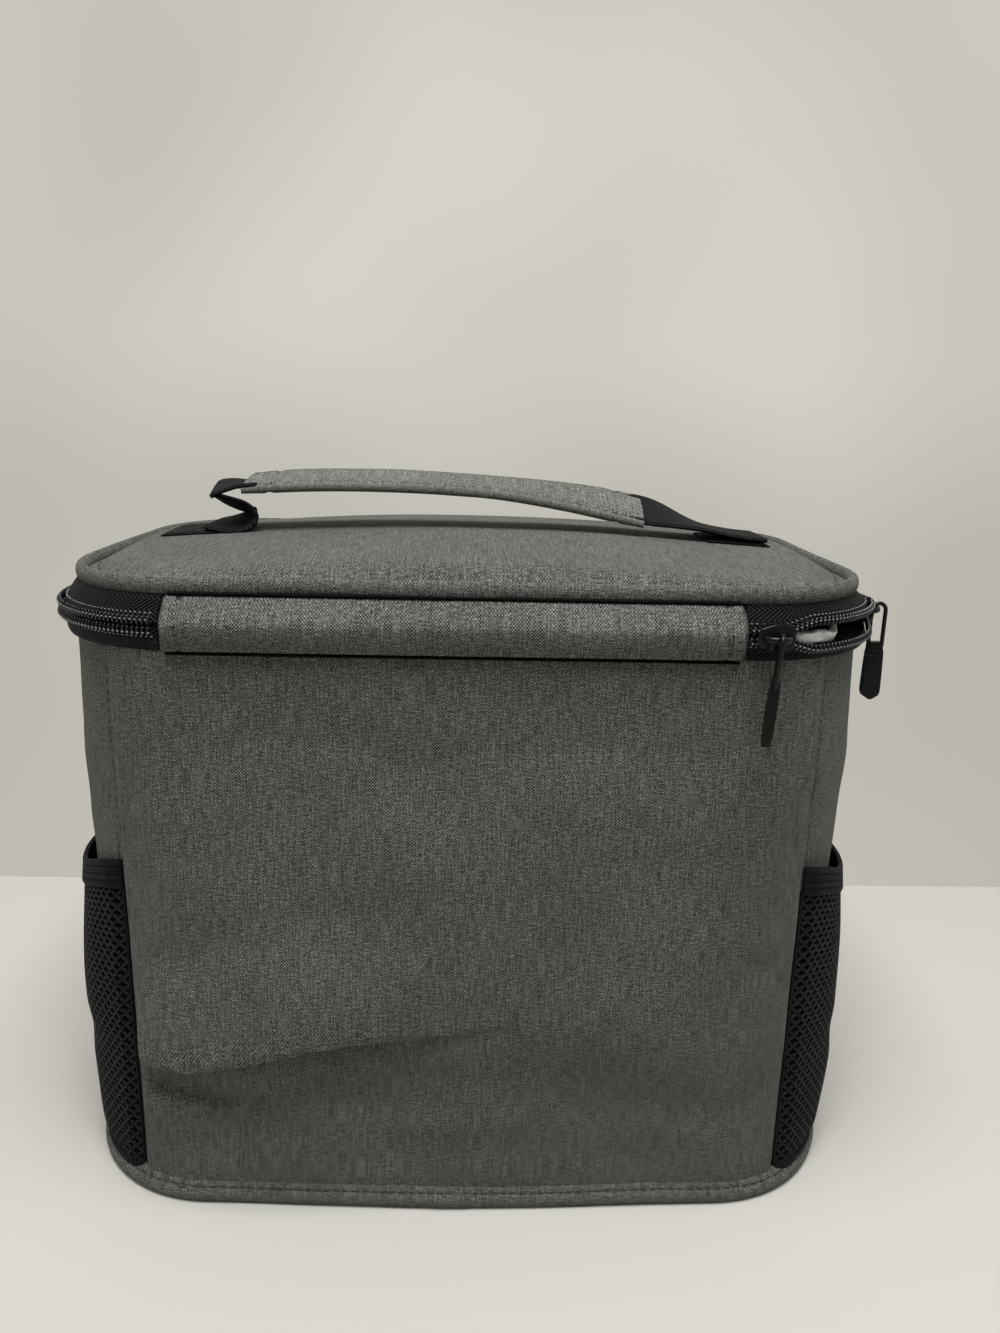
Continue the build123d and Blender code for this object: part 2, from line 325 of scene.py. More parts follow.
def repeat(name, template, places):
    """Copies one small piece to many places and joins the copies."""
    source = template.data
    vertices, faces = [], []
    for place in places:
        first = len(vertices)
        vertices.extend(place(v.co) if callable(place) else place @ v.co for v in source.vertices)
        faces.extend([first + i for i in face.vertices] for face in source.polygons)
    mesh = bpy.data.meshes.new(name)
    mesh.from_pydata(vertices, [], faces)
    mesh.polygons.foreach_set("use_smooth", [True] * len(faces))
    obj = bpy.data.objects.new(name, mesh)
    bpy.context.scene.collection.objects.link(obj)
    tidy(obj, 0.001 * MM)
    return obj


def ball(name, size, segments=8, rings=6):
    """A small rounded piece of a given size along X, Y and Z."""
    deselect()
    bpy.ops.mesh.primitive_uv_sphere_add(segments=segments, ring_count=rings, radius=0.5)
    obj = bpy.context.object
    obj.name = name
    obj.data.transform(Matrix.Diagonal((*size, 1)))
    return obj


def remove(*pieces):
    for piece in pieces:
        bpy.data.objects.remove(piece)


def finish_piece(obj, material, body):
    """Gives a piece its material and its body."""
    obj.data.materials.clear()
    obj.data.materials.append(finish(material))
    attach(obj, body)
    return obj


def sewn_line(name, spots, body, thread="thread_grey", wide=0.55 * MM):
    """A line of stitches lying through spots, each given as (place, along, outwards)."""
    template = ball("stitch", (0.72 * sizes().stitch, wide, wide * 0.8), 8, 5)
    places = []
    for place, along, normal in spots:
        side = normal.cross(along).normalized()
        up = along.cross(side).normalized()
        turn = Matrix((along, side, up)).transposed().to_4x4()
        places.append(Matrix.Translation(place) @ turn)
    obj = repeat(name, template, places)
    remove(template)
    return finish_piece(obj, thread, body)


def spots_along(place, length, pitch=None):
    """Evenly spaced spots along a line given as place(t) -> (point, outwards), t in metres."""
    pitch = pitch or sizes().stitch
    spots = []
    for i in range(int(length / pitch)):
        t = (i + 0.5) * pitch
        before, _ = place(t - pitch / 4)
        after, _ = place(t + pitch / 4)
        point, normal = place(t)
        spots.append((point, (after - before).normalized(), normal))
    return spots


# ---------------------------------------------------------------- materials


class Nodes:
    """A short way to write a node tree."""

    def __init__(self, owner, shader="Principled BSDF"):
        owner.use_nodes = True
        self.owner = owner
        self.tree = owner.node_tree
        self.shader = self.tree.nodes[shader]

    def add(self, kind, inputs=(), **settings):
        node = self.tree.nodes.new(kind)
        for key, value in settings.items():
            setattr(node, key, value)
        for key, value in dict(inputs).items():
            self.put(node.inputs[key], value)
        return node

    def put(self, socket, value):
        if isinstance(value, bpy.types.NodeSocket):
            self.tree.links.new(value, socket)
        else:
            socket.default_value = value

    def math(self, operation, a, b=0.0):
        return self.add("ShaderNodeMath", {0: a, 1: b}, operation=operation).outputs[0]

    def scaled(self, value, factor, more):
        """A value times a factor, and some more."""
        return self.math("ADD", self.math("MULTIPLY", value, factor), more)

    def mix(self, factor, a, b, **settings):
        """One colour turning into another: 6 and 7 are the colour sockets, and 2 the colour output."""
        return self.add("ShaderNodeMix", {0: factor, 6: a, 7: b}, data_type="RGBA", **settings).outputs[2]

    def noise(self, vector, scale, detail=2.0, rough=0.5):
        inputs = {"Vector": vector, "Scale": scale, "Detail": detail, "Roughness": rough}
        return self.add("ShaderNodeTexNoise", inputs).outputs["Fac"]

    def spread(self, value, low, high, start=0.0, end=1.0, kind="LINEAR"):
        """Stretches a range of values to another range."""
        inputs = {"Value": value, "From Min": low, "From Max": high, "To Min": start, "To Max": end}
        return self.add("ShaderNodeMapRange", inputs, interpolation_type=kind).outputs["Result"]

    def stretched(self, vector, scale):
        return self.add("ShaderNodeMapping", {"Vector": vector, "Scale": scale}).outputs["Vector"]

    def bump(self, height, strength, distance):
        inputs = {"Height": height, "Strength": strength, "Distance": distance}
        self.put(self.shader.inputs["Normal"], self.add("ShaderNodeBump", inputs).outputs["Normal"])

    def place(self, own_map):
        """Flat places on cloth with its own UV map, in metres, or places in space."""
        if own_map:
            return self.add("ShaderNodeUVMap", uv_map="UVMap").outputs["UV"]
        return self.add("ShaderNodeTexCoord").outputs["Object"]

    def set(self, **values):
        """Gives the shader's inputs their values: an underscore stands for a space."""
        for key, value in values.items():
            self.put(self.shader.inputs[key.replace("_", " ")], value)


def toned(value, factor=1.0):
    """An opaque colour, made lighter or darker by a factor."""
    return (*(min(c * factor, 1.0) for c in value[:3]), 1.0)


def heather(name, own_map=True, lift=1.0):
    """Two-tone heather cloth in a close weave: streaks of light and dark yarn both ways."""
    n = Nodes(bpy.data.materials.new(name))
    flat = n.place(own_map)
    parts = n.add("ShaderNodeSeparateXYZ", {"Vector": flat})
    turns = pi / sizes().thread
    across = n.math("MULTIPLY", parts.outputs["X"], turns)
    up = n.math("MULTIPLY", parts.outputs["Y"], turns)
    wander = n.math("MULTIPLY", n.noise(flat, 60.0, 1.0), 4.0)
    across = n.math("ADD", across, wander)
    up = n.math("ADD", up, wander)
    weave = n.math("MULTIPLY", n.math("SINE", across), n.math("SINE", up))
    short, weft_long, warp_long = 2100.0, 320.0, 105.0
    weft_streaks = n.noise(n.stretched(flat, (weft_long, short, short)), 1.0, 1.5, 0.6)
    weft = n.spread(weft_streaks, 0.40, 0.62)
    warp_streaks = n.noise(n.stretched(flat, (short, warp_long, short)), 1.0, 1.5, 0.6)
    warp = n.spread(warp_streaks, 0.42, 0.60)
    light, dark = toned(colours().light_thread, lift), toned(colours().dark_thread, lift)
    weft_colour = n.mix(weft, toned(light, 0.55), toned(light, 1.22))
    warp_colour = n.mix(warp, toned(dark, 0.5), toned(dark, 4.9))
    yarn = n.mix(n.spread(weave, -0.42, 0.42), weft_colour, warp_colour)
    cloud = n.spread(n.noise(flat, 28.0, 3.0, 0.6), 0.25, 0.75)
    speck = n.spread(n.noise(flat, 1500.0, 2.0, 0.7), 0.34, 0.66)
    gap = n.spread(n.math("ABSOLUTE", weave), 0.0, 0.3)
    even = n.math("MULTIPLY", n.scaled(cloud, 0.26, 0.84), n.scaled(gap, 0.3, 0.7))
    shade = n.math("MULTIPLY", even, n.scaled(speck, 1.1, 0.4))
    tone = n.add("ShaderNodeCombineColor", {"Red": shade, "Green": shade, "Blue": shade}).outputs["Color"]
    n.set(Base_Color=n.mix(1.0, yarn, tone, blend_type="MULTIPLY"))
    n.bump(n.math("ADD", weave, n.math("MULTIPLY", warp, 0.6)), 0.55, 0.16 * MM)
    n.set(Roughness=0.88, Sheen_Weight=0.04, Sheen_Roughness=0.45, Specular_IOR_Level=0.2)
    return n.owner


def black_weave(name, ribs=(1.1 * MM, 0.7 * MM), rough=0.62, lift=1.0):
    """Black textile with a raised rib one way and a finer one the other."""
    n = Nodes(bpy.data.materials.new(name))
    flat = n.place(True)
    parts = n.add("ShaderNodeSeparateXYZ", {"Vector": flat})
    one = n.math("SINE", n.math("MULTIPLY", parts.outputs["X"], 2 * pi / ribs[0]))
    two = n.math("SINE", n.math("MULTIPLY", parts.outputs["Y"], 2 * pi / ribs[1]))
    height = n.math("ADD", one, n.math("MULTIPLY", two, 0.6))
    fuzz = n.noise(flat, 1400.0, 2.0)
    # Colour follows the rib height, with random fuzz: lighter on the raised ribs and darker in the grooves, a
    # painted highlight and shade.
    shade = n.spread(n.math("ADD", height, fuzz), -1.4, 2.0)
    base = toned(colours().black, lift)
    n.set(Base_Color=n.mix(shade, toned(base, 0.5), toned(base, 2.3)))
    n.bump(n.math("ADD", height, n.math("MULTIPLY", fuzz, 0.8)), 0.8, 0.3 * MM)
    n.set(Roughness=rough, Specular_IOR_Level=0.08)
    return n.owner


def herringbone(name):
    """Zip tape: diagonal ribs that turn back at each chevron."""
    n = Nodes(bpy.data.materials.new(name))
    flat = n.place(True)
    parts = n.add("ShaderNodeSeparateXYZ", {"Vector": flat})
    fold = n.math("PINGPONG", parts.outputs["Y"], 3.4 * MM)
    lean = n.math("ADD", parts.outputs["X"], n.math("MULTIPLY", fold, 1.3))
    ribs = n.math("SINE", n.math("MULTIPLY", lean, 2 * pi / (1.6 * MM)))
    fuzz = n.noise(flat, 1500.0, 2.0)
    # Colour follows the rib height, with random fuzz: lighter grey on the rib crests and near black in the
    # grooves, a painted highlight and shade.
    shade = n.spread(n.math("ADD", ribs, fuzz), 0.1, 1.7)
    n.set(Base_Color=n.mix(shade, toned(colours().black, 0.1), toned(colours().black, 4.6)))
    n.bump(ribs, 0.9, 0.5 * MM)
    n.set(Roughness=0.6, Specular_IOR_Level=0.1)
    return n.owner


def moulded(name, value, rough, coat=0.0, grain=900.0, gloss=0.5):
    """A moulded or enamelled surface with a fine uneven grain and slightly varied gloss."""
    n = Nodes(bpy.data.materials.new(name))
    flat = n.place(False)
    fine = n.noise(flat, grain, 3.0)
    broad = n.noise(flat, grain / 12, 2.0)
    n.set(Base_Color=n.mix(broad, toned(value, 0.75), toned(value, 1.25)))
    n.set(Roughness=n.scaled(broad, 0.14, rough - 0.07))
    n.bump(fine, 0.4, 0.03 * MM)
    n.set(Coat_Weight=coat, Coat_Roughness=0.15, Specular_IOR_Level=gloss)
    return n.owner


def film(name):
    """Coated lining film: pale, satin and slightly crinkled."""
    n = Nodes(bpy.data.materials.new(name))
    crinkle = n.noise(n.place(False), 140.0, 4.0, 0.6)
    n.set(Base_Color=n.mix(crinkle, toned(colours().lining, 0.9), toned(colours().lining, 1.08)))
    n.bump(crinkle, 0.5, 0.6 * MM)
    n.set(Roughness=0.34, Specular_IOR_Level=0.6, Coat_Weight=0.15, Coat_Roughness=0.3)
    return n.owner


def cells(name):
    """Closed-cell foam."""
    n = Nodes(bpy.data.materials.new(name))
    bubbles = n.add("ShaderNodeTexVoronoi", {"Vector": n.place(False), "Scale": 700.0}).outputs["Distance"]
    n.set(Base_Color=n.mix(bubbles, toned(colours().foam, 0.86), toned(colours().foam)))
    n.bump(bubbles, 0.4, 0.3 * MM)
    n.set(Roughness=0.8, Subsurface_Weight=0.1)
    return n.owner


def plain_matt(name, value, rough):
    """A plain matt surface with very slight unevenness."""
    n = Nodes(bpy.data.materials.new(name))
    broad = n.noise(n.place(False), 3.0, 3.0)
    n.set(Base_Color=n.mix(broad, toned(value, 0.975), toned(value)))
    n.set(Roughness=rough, Specular_IOR_Level=0.2)
    return n.owner


def finish(name):
    """The material of that name, made when it is first asked for."""
    black = colours().black
    thread = {"grain": 2500.0}
    makers = {
        "heather_cloth": lambda: heather(name),
        "heather_lid": lambda: heather(name),
        # the walls' heather lifted 1.35 times: painted light on the strap
        "heather_strap_painted_light": lambda: heather(name, lift=1.35),
        "heather_base": lambda: heather(name, False),
        "black_webbing": lambda: black_weave(name),
        "black_mesh": lambda: black_weave(name, (0.5 * MM, 0.5 * MM), 0.5, 2.4),
        # black darkened to half: painted shade, used for the sheet behind the pocket mesh and the dark lines
        # along the hinge strip
        "painted_shade_black": lambda: black_weave(name, (0.8 * MM, 0.8 * MM), 0.9, 0.5),
        "black_elastic": lambda: black_weave(name, (0.55 * MM, 1.9 * MM), 0.6, 1.3),
        "zip_tape_cloth": lambda: herringbone(name),
        "coil_nylon": lambda: moulded(name, toned(black, 1.1), 0.22, 0.1),
        "black_enamel": lambda: moulded(name, toned(black, 0.7), 0.24, gloss=0.22),
        "black_grip": lambda: moulded(name, toned(black, 0.7), 0.34, gloss=0.16),
        "thread_grey": lambda: moulded(name, (0.020, 0.020, 0.019), 0.7, **thread),
        # black lifted 24 times to a pale grey: painted glints along the zip's sewing
        "thread_painted_glint": lambda: moulded(name, toned(black, 24), 0.3, 0.2, **thread),
        "thread_black": lambda: moulded(name, black, 0.5, **thread),
        "lining_film": lambda: film(name),
        "foam_cells": lambda: cells(name),
        "floor_matt": lambda: plain_matt(name, colours().floor, 0.55),
    }
    return bpy.data.materials.get(name) or makers[name]()


# ---------------------------------------------------------------- the swelling of the walls


def swollen_form():
    """The bag's body as one closed form, swollen between its seams by cloth simulation."""
    deselect()
    low, high = 3 * MM, WALL_TOP
    bpy.ops.mesh.primitive_cube_add(size=1, location=(0, 0, (low + high) / 2))
    form = bpy.context.object
    form.name = "swollen_form"
    form.scale = (2 * HALF_WIDTH, 2 * HALF_DEPTH, high - low)
    bpy.ops.object.transform_apply(location=True, rotation=False, scale=True)
    select_edges(form, lambda a, b: abs(a.z - b.z) > 0.1)
    bpy.ops.mesh.bevel(offset=RADIUS, segments=14, affect="EDGES")
    bpy.ops.object.mode_set(mode="OBJECT")
    form.data.remesh_voxel_size = 6 * MM
    bpy.ops.object.voxel_remesh()
    held = form.vertex_groups.new(name="held")
    for vertex in form.data.vertices:
        co = vertex.co
        at_edge = max(1 - (high - co.z) / (9 * MM), 1 - (co.z - low) / (9 * MM))
        at_seam = 1 - abs(abs(co.x) - SEAM_X) / (9 * MM)
        weight = min(max(at_edge, at_seam, 0.0), 1.0)
        if weight > 0:
            held.add([vertex.index], weight, "REPLACE")
    pick(form)
    cloth = form.modifiers.new("cloth", "CLOTH")
    cloth.settings.vertex_group_mass = "held"
    cloth.settings.use_pressure = True
    cloth.settings.uniform_pressure_force = 4.0
    cloth.settings.effector_weights.gravity = 0.0
    cloth.settings.shrink_min = -0.035
    cloth.settings.quality = 5
    scene = bpy.context.scene
    for step in range(1, 21):
        scene.frame_set(step)
    bpy.ops.object.modifier_apply(modifier=cloth.name)
    scene.frame_set(1)
    apply(form, "SUBSURF", levels=1, render_levels=1)
    return form


class Swelling:
    """How far the cloth stands off the plan, read from the swollen form."""

    def __init__(self):
        self.form = swollen_form()
        mesh = self.form.data
        polygons = [tuple(p.vertices) for p in mesh.polygons]
        self.tree = BVHTree.FromPolygons([v.co for v in mesh.vertices], polygons)
        reach = [self.raw(signed(s * 0.01), z * 0.01) for s in range(-35, 36) for z in range(2, 18)]
        self.scale = sizes().bulge / max(max(reach), 0.5 * MM)
        remove(self.form)

    def raw(self, s, z):
        """The form's own stand-off, where it has one."""
        start, normal = plan(s, 0.06)
        start = Vector((start.x, start.y, z))
        hit, _, _, distance = self.tree.ray_cast(start, -normal)
        return 0.0 if hit is None else 0.06 - distance

    def at(self, s, z):
        inside = min(max(z, 6 * MM), WALL_TOP - 4 * MM)
        return self.raw(s, inside) * self.scale


def wall_relief(s, z, swelling, folded=True):
    """How far the outer cloth stands off the plan: swelling, pinched seams, the fold and the soft dents."""
    s = signed(s)
    out = max(swelling.at(s, z), 0.0) * ease(z / 0.02) * ease((WALL_TOP - z) / 0.02)
    spot = Vector((s * 22, z * 16, 3.1))
    lumps = noise.noise(spot) + 0.5 * noise.noise(spot * 2.1)
    out += 1.7 * MM * lumps * ease(z / 0.03) * ease((WALL_TOP - z) / 0.03)
    out += 2.2 * MM * ease(1 - abs(s) / (STRAIGHT_X + 0.01)) * ease(1 - 1.6 * z / WALL_TOP)
    if SEAM_S < abs(s) < ROUND_TRIP / 2 - SEAM_S:
        out -= 1.9 * MM
    if abs(s) < SEAM_S:
        out -= 2.6 * MM * ease(1 - abs(z - 0.034) / 0.028) * ease((SEAM_S - abs(s)) / 0.02)
    if folded and abs(s) < SEAM_S:
        out += fold_relief(s, z)
    pinch = min(abs(abs(s) - SEAM_S), abs(abs(signed(s - ROUND_TRIP / 2)) - SEAM_S))
    seam = 1 - ease(pinch / (2.6 * MM))
    return max(out, -2.4 * MM) * (1 - seam) - 1.7 * MM * seam


def fold_line(s):
    """The height of the long fold, and how strong it is there."""
    line = 0.0545 + 0.012 * ease((s + 0.105) / 0.09) + 0.0012 * sin(s * 90)
    return line, ease((s + 0.1085) / 0.008) * (1 - ease((s + 0.062) / 0.085))


def droop(s, z):
    """How far the cloth just above the fold hangs over the cloth below it."""
    line, strength = fold_line(s)
    above = z - line
    return 4.2 * MM * strength * (1 - ease(above / (8 * MM))) if above >= 0 else 0.0


def fold_relief(s, z):
    """The long fold low on the back, whose upper cloth hangs over the lower, and a short one under it."""
    depth = sizes().fold
    line, strength = fold_line(s)
    above = z - line
    if above >= 0:
        shape = (1 - ease(above / 0.045)) * ease(above / (1.4 * MM) + 0.35)
    else:
        shape = -0.45 * (1 - ease(-above / 0.013))
    out = depth * strength * shape
    short_line = 0.042 - 0.10 * (s + 0.108) - 1.6 * (s + 0.108) ** 2
    short = ease((s + 0.108) / 0.006) * (1 - ease((s + 0.09) / 0.03))
    below = short_line - z
    if below < 0:
        ledge = -0.15 * (1 - ease(-below / 0.010))
    else:
        ledge = (1.15 * ease(below / 0.005) - 0.15) * (1 - ease((below - 0.006) / 0.026))
    out += 3.4 * MM * short * ledge
    sweep = z - (0.030 + 0.10 * (s + 0.02))
    out += 2.4 * MM * ease(1 - abs(sweep) / 0.016) * ease(1 - abs(s + 0.01) / 0.07)
    sweep = z - (0.026 - 0.16 * (s - 0.06))
    out += 2.0 * MM * ease(1 - abs(sweep) / 0.014) * ease(1 - abs(s - 0.055) / 0.05)
    return out




class LUNCHBAG_OT_walls(bpy.types.Operator):
    """Sews the four wall panels over their padding, with the seams between them"""

    bl_idname = "lunchbag.walls"
    bl_label = "Walls"

    def execute(self, context):
        swelling = Swelling()
        half = ROUND_TRIP / 2
        panels = (
            ("back_cloth", "back_panel", -SEAM_S, SEAM_S, 1.4 * MM),
            ("right_cloth", "right_gusset", SEAM_S, half - SEAM_S, 2.4 * MM),
            ("front_cloth", "front_panel", half - SEAM_S, half + SEAM_S, 2.4 * MM),
            ("left_cloth", "left_gusset", half + SEAM_S, ROUND_TRIP - SEAM_S, 2.4 * MM),
        )
        low, high = 2.0 * MM, WALL_TOP
        for name, node, start, end, step in panels:
            across, up = int((end - start) / step), int((high - low) / step)
            panel = grid(name, (start, end), (low, high), across, up)

            def place(s, z):
                down = droop(signed(s), z) if abs(signed(s)) < SEAM_S else 0.0
                return on_bag(s, wall_relief(s, z, swelling), z - down)

            lay(panel, place)
            apply(panel, "SOLIDIFY", thickness=sizes().fabric, offset=1.0 if panel_faces_in(panel) else -1.0)
            smooth(panel)
            finish_piece(panel, "heather_cloth", "bag")
            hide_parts(node)
        self.padding(swelling)
        self.seams(swelling)
        return {"FINISHED"}

    def padding(self, swelling):
        """The foam of the four walls, following the swollen cloth."""
        low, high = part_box("back_foam")[0].z, WALL_TOP
        inner, outer = -5.7 * MM, -2.7 * MM
        rows = 24
        rise = [low + (high - low) * i / rows for i in range(rows + 1)]
        profile = [(outer, z) for z in rise] + [(inner, z) for z in reversed(rise)]

        def follow(s, out, z):
            return (max(wall_relief(s, z, swelling, False), -2.0 * MM) * 0.8 if out > -4 * MM else 0.0), 0.0

        padding = band("wall_padding", (0, ROUND_TRIP), profile, 6 * MM, follow)
        finish_piece(padding, "foam_cells", "bag")
        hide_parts("back_foam", "front_foam", "left_foam", "right_foam")

    def seams(self, swelling):
        """A line of stitches up the gusset side of each seam."""
        spots = []
        low, high = 12 * MM, WALL_TOP - 6 * MM
        for seam in (SEAM_S, ROUND_TRIP / 2 - SEAM_S, ROUND_TRIP / 2 + SEAM_S, -SEAM_S):
            side = 1 if seam in (SEAM_S, ROUND_TRIP / 2 + SEAM_S) else -1
            s = seam + side * 1.6 * MM

            def up(t, s=s):
                z = low + t
                return on_bag(s, wall_relief(s, z, swelling) + 0.05 * MM, z), plan(s)[1]

            spots += spots_along(up, high - low)
        sewn_line("seam_stitches", spots, "bag", wide=0.45 * MM)


def panel_faces_in(panel):
    """Whether the panel's faces point towards the middle of the bag."""
    face = panel.data.polygons[len(panel.data.polygons) // 2]
    return face.normal.dot(Vector((face.center.x, face.center.y, 0))) < 0


class LUNCHBAG_OT_base(bpy.types.Operator):
    """Makes the piping round the base, its stitches and the base's own cloth"""

    bl_idname = "lunchbag.base"
    bl_label = "Base"

    def execute(self, context):
        low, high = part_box("base_piping")
        middle = (low.z + high.z) / 2

        def sag(s, out, z):
            s = signed(s)
            bow = 2.6 * MM * ease(1 - abs(s) / (STRAIGHT_X + 0.012))
            wave = 0.35 * MM * noise.noise(Vector((s * 30, 0, 1)))
            return bow + wave, 0.25 * MM * noise.noise(Vector((s * 25, 4, 1)))

        cord = oval(1.1 * MM, middle, 2.0 * MM, 2.5 * MM, 14)
        piping = band("base_piping_cord", (0, ROUND_TRIP), cord, 2 * MM, sag)
        finish_piece(piping, "heather_cloth", "bag")
        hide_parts("base_piping")
        fold = from_mm([(-1.2, 2.0), (1.3, 1.4), (1.5, 2.4), (0.2, 3.6), (-1.2, 3.6)], 0.0, middle)
        lip = band("base_seam_fold", (0, ROUND_TRIP), fold, 3 * MM, sag)
        finish_piece(lip, "heather_cloth", "bag")

        def run(t):
            more_out, more_z = sag(t, 0, 0)
            return on_bag(t, 1.75 * MM + more_out, middle + 2.9 * MM + more_z), plan(t)[1]

        sewn_line("base_stitches", spots_along(run, ROUND_TRIP), "bag", wide=0.5 * MM)
        thicker = oval(1.15 * MM, middle, 2.15 * MM, 2.5 * MM, 14)
        overlap = band("base_piping_end", (-9 * MM, 2 * MM), thicker, 1 * MM, sag)
        finish_piece(overlap, "heather_cloth", "bag")
        return {"FINISHED"}


class LUNCHBAG_OT_lining(bpy.types.Operator):
    """Makes the lining cup with its soft wrinkles, the scrap that shows at the open zip, and the rim's binding"""

    bl_idname = "lunchbag.lining"
    bl_label = "Lining"

    def execute(self, context):
        low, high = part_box("body_lining")
        face = -5.85 * MM

        def wrinkle(s, out, z):
            spot = Vector((s * 26, z * 12, 9.0))
            crease = abs(noise.noise(spot)) + 0.5 * abs(noise.noise(spot * 2.1))
            end = ease(min(s, ROUND_TRIP - s) / 0.05)
            return -1.6 * MM * crease * end * ease((high.z - z) / 0.02) * ease((z - low.z) / 0.02), 0.0

        rows = 44
        rise = [low.z + 0.4 * MM + (high.z - low.z) * i / rows for i in range(rows + 1)]
        wall = band("lining_wall", (0, ROUND_TRIP), [(face, z) for z in rise], 4 * MM, wrinkle, closed=False)
        bottom = min(v.co.z for v in wall.data.vertices)
        select_edges(wall, lambda a, b: max(a.z, b.z) < bottom + 0.1 * MM)
        for shrink in (0.97, 0.75, 0.55, 0.5):
            bpy.ops.mesh.extrude_edges_move()
            bpy.ops.transform.resize(value=(shrink, shrink, 1), center_override=(0, 0, bottom))
        bpy.ops.mesh.edge_face_add()
        bpy.ops.mesh.select_all(action="SELECT")
        bpy.ops.mesh.normals_make_consistent(inside=False)
        bpy.ops.object.mode_set(mode="OBJECT")
        for vertex in wall.data.vertices:
            co = vertex.co
            inner = ease((HALF_DEPTH - 0.012 - abs(co.y)) / 0.02)
            inner *= ease((HALF_WIDTH - 0.012 - abs(co.x)) / 0.02)
            if co.z < bottom + 0.2 * MM:
                co.z += 0.8 * MM * inner * (0.5 + noise.noise(Vector((co.x * 25, co.y * 25, 0))))
        apply(wall, "SOLIDIFY", thickness=0.5 * MM, offset=0.0)
        smooth(wall)
        wall.name = "lining_cup"
        finish_piece(wall, "lining_film", "bag")
        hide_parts("body_lining")
        self.scrap()
        self.rim()
        return {"FINISHED"}

    def scrap(self):
        """A roll of lining that pushes out between the open rows of the zip."""
        start, end = STRAIGHT_X + 9.5 * MM, STRAIGHT_X + 33 * MM

        def push(s, out, z):
            t = (s - start) / (end - start)
            swell = ease(t * 5) * ease((1 - t) * 4)
            lump = noise.noise(Vector((s * 240, z * 500, 5)))
            return (swell - 1) * 2.6 * MM + 1.3 * MM * lump - 0.4 * MM, 1.3 * MM * lump - 0.2 * MM

        roll = oval(-1.6 * MM, 192.6 * MM, 1.4 * MM, 2.1 * MM, 16)
        scrap = band("lining_fold", (start, end), roll, 0.8 * MM, push)
        finish_piece(scrap, "lining_film", "bag")

    def rim(self):
        """The binding folded over the rim."""
        folded = [(-0.1, -1.2), (-0.3, -0.3), (-1.4, 0.0), (-4.5, 0.0), (-6.4, -0.2), (-7.0, -1.0)]
        folded += [(-7.1, -4.0), (-7.0, -7.6), (-6.4, -7.8), (-6.2, -4.0), (-6.0, -1.4), (-2.0, -1.3)]
        rim = band("rim_tape", (0, ROUND_TRIP), from_mm(folded, 0.0, RIM_TOP), 3 * MM)
        finish_piece(rim, "black_webbing", "bag")
        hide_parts("rim_binding")

        def run(t):
            return on_bag(t, -7.25 * MM, RIM_TOP - 6.2 * MM), -plan(t)[1]

        sewn_line("rim_stitches", spots_along(run, ROUND_TRIP), "bag", "thread_black")


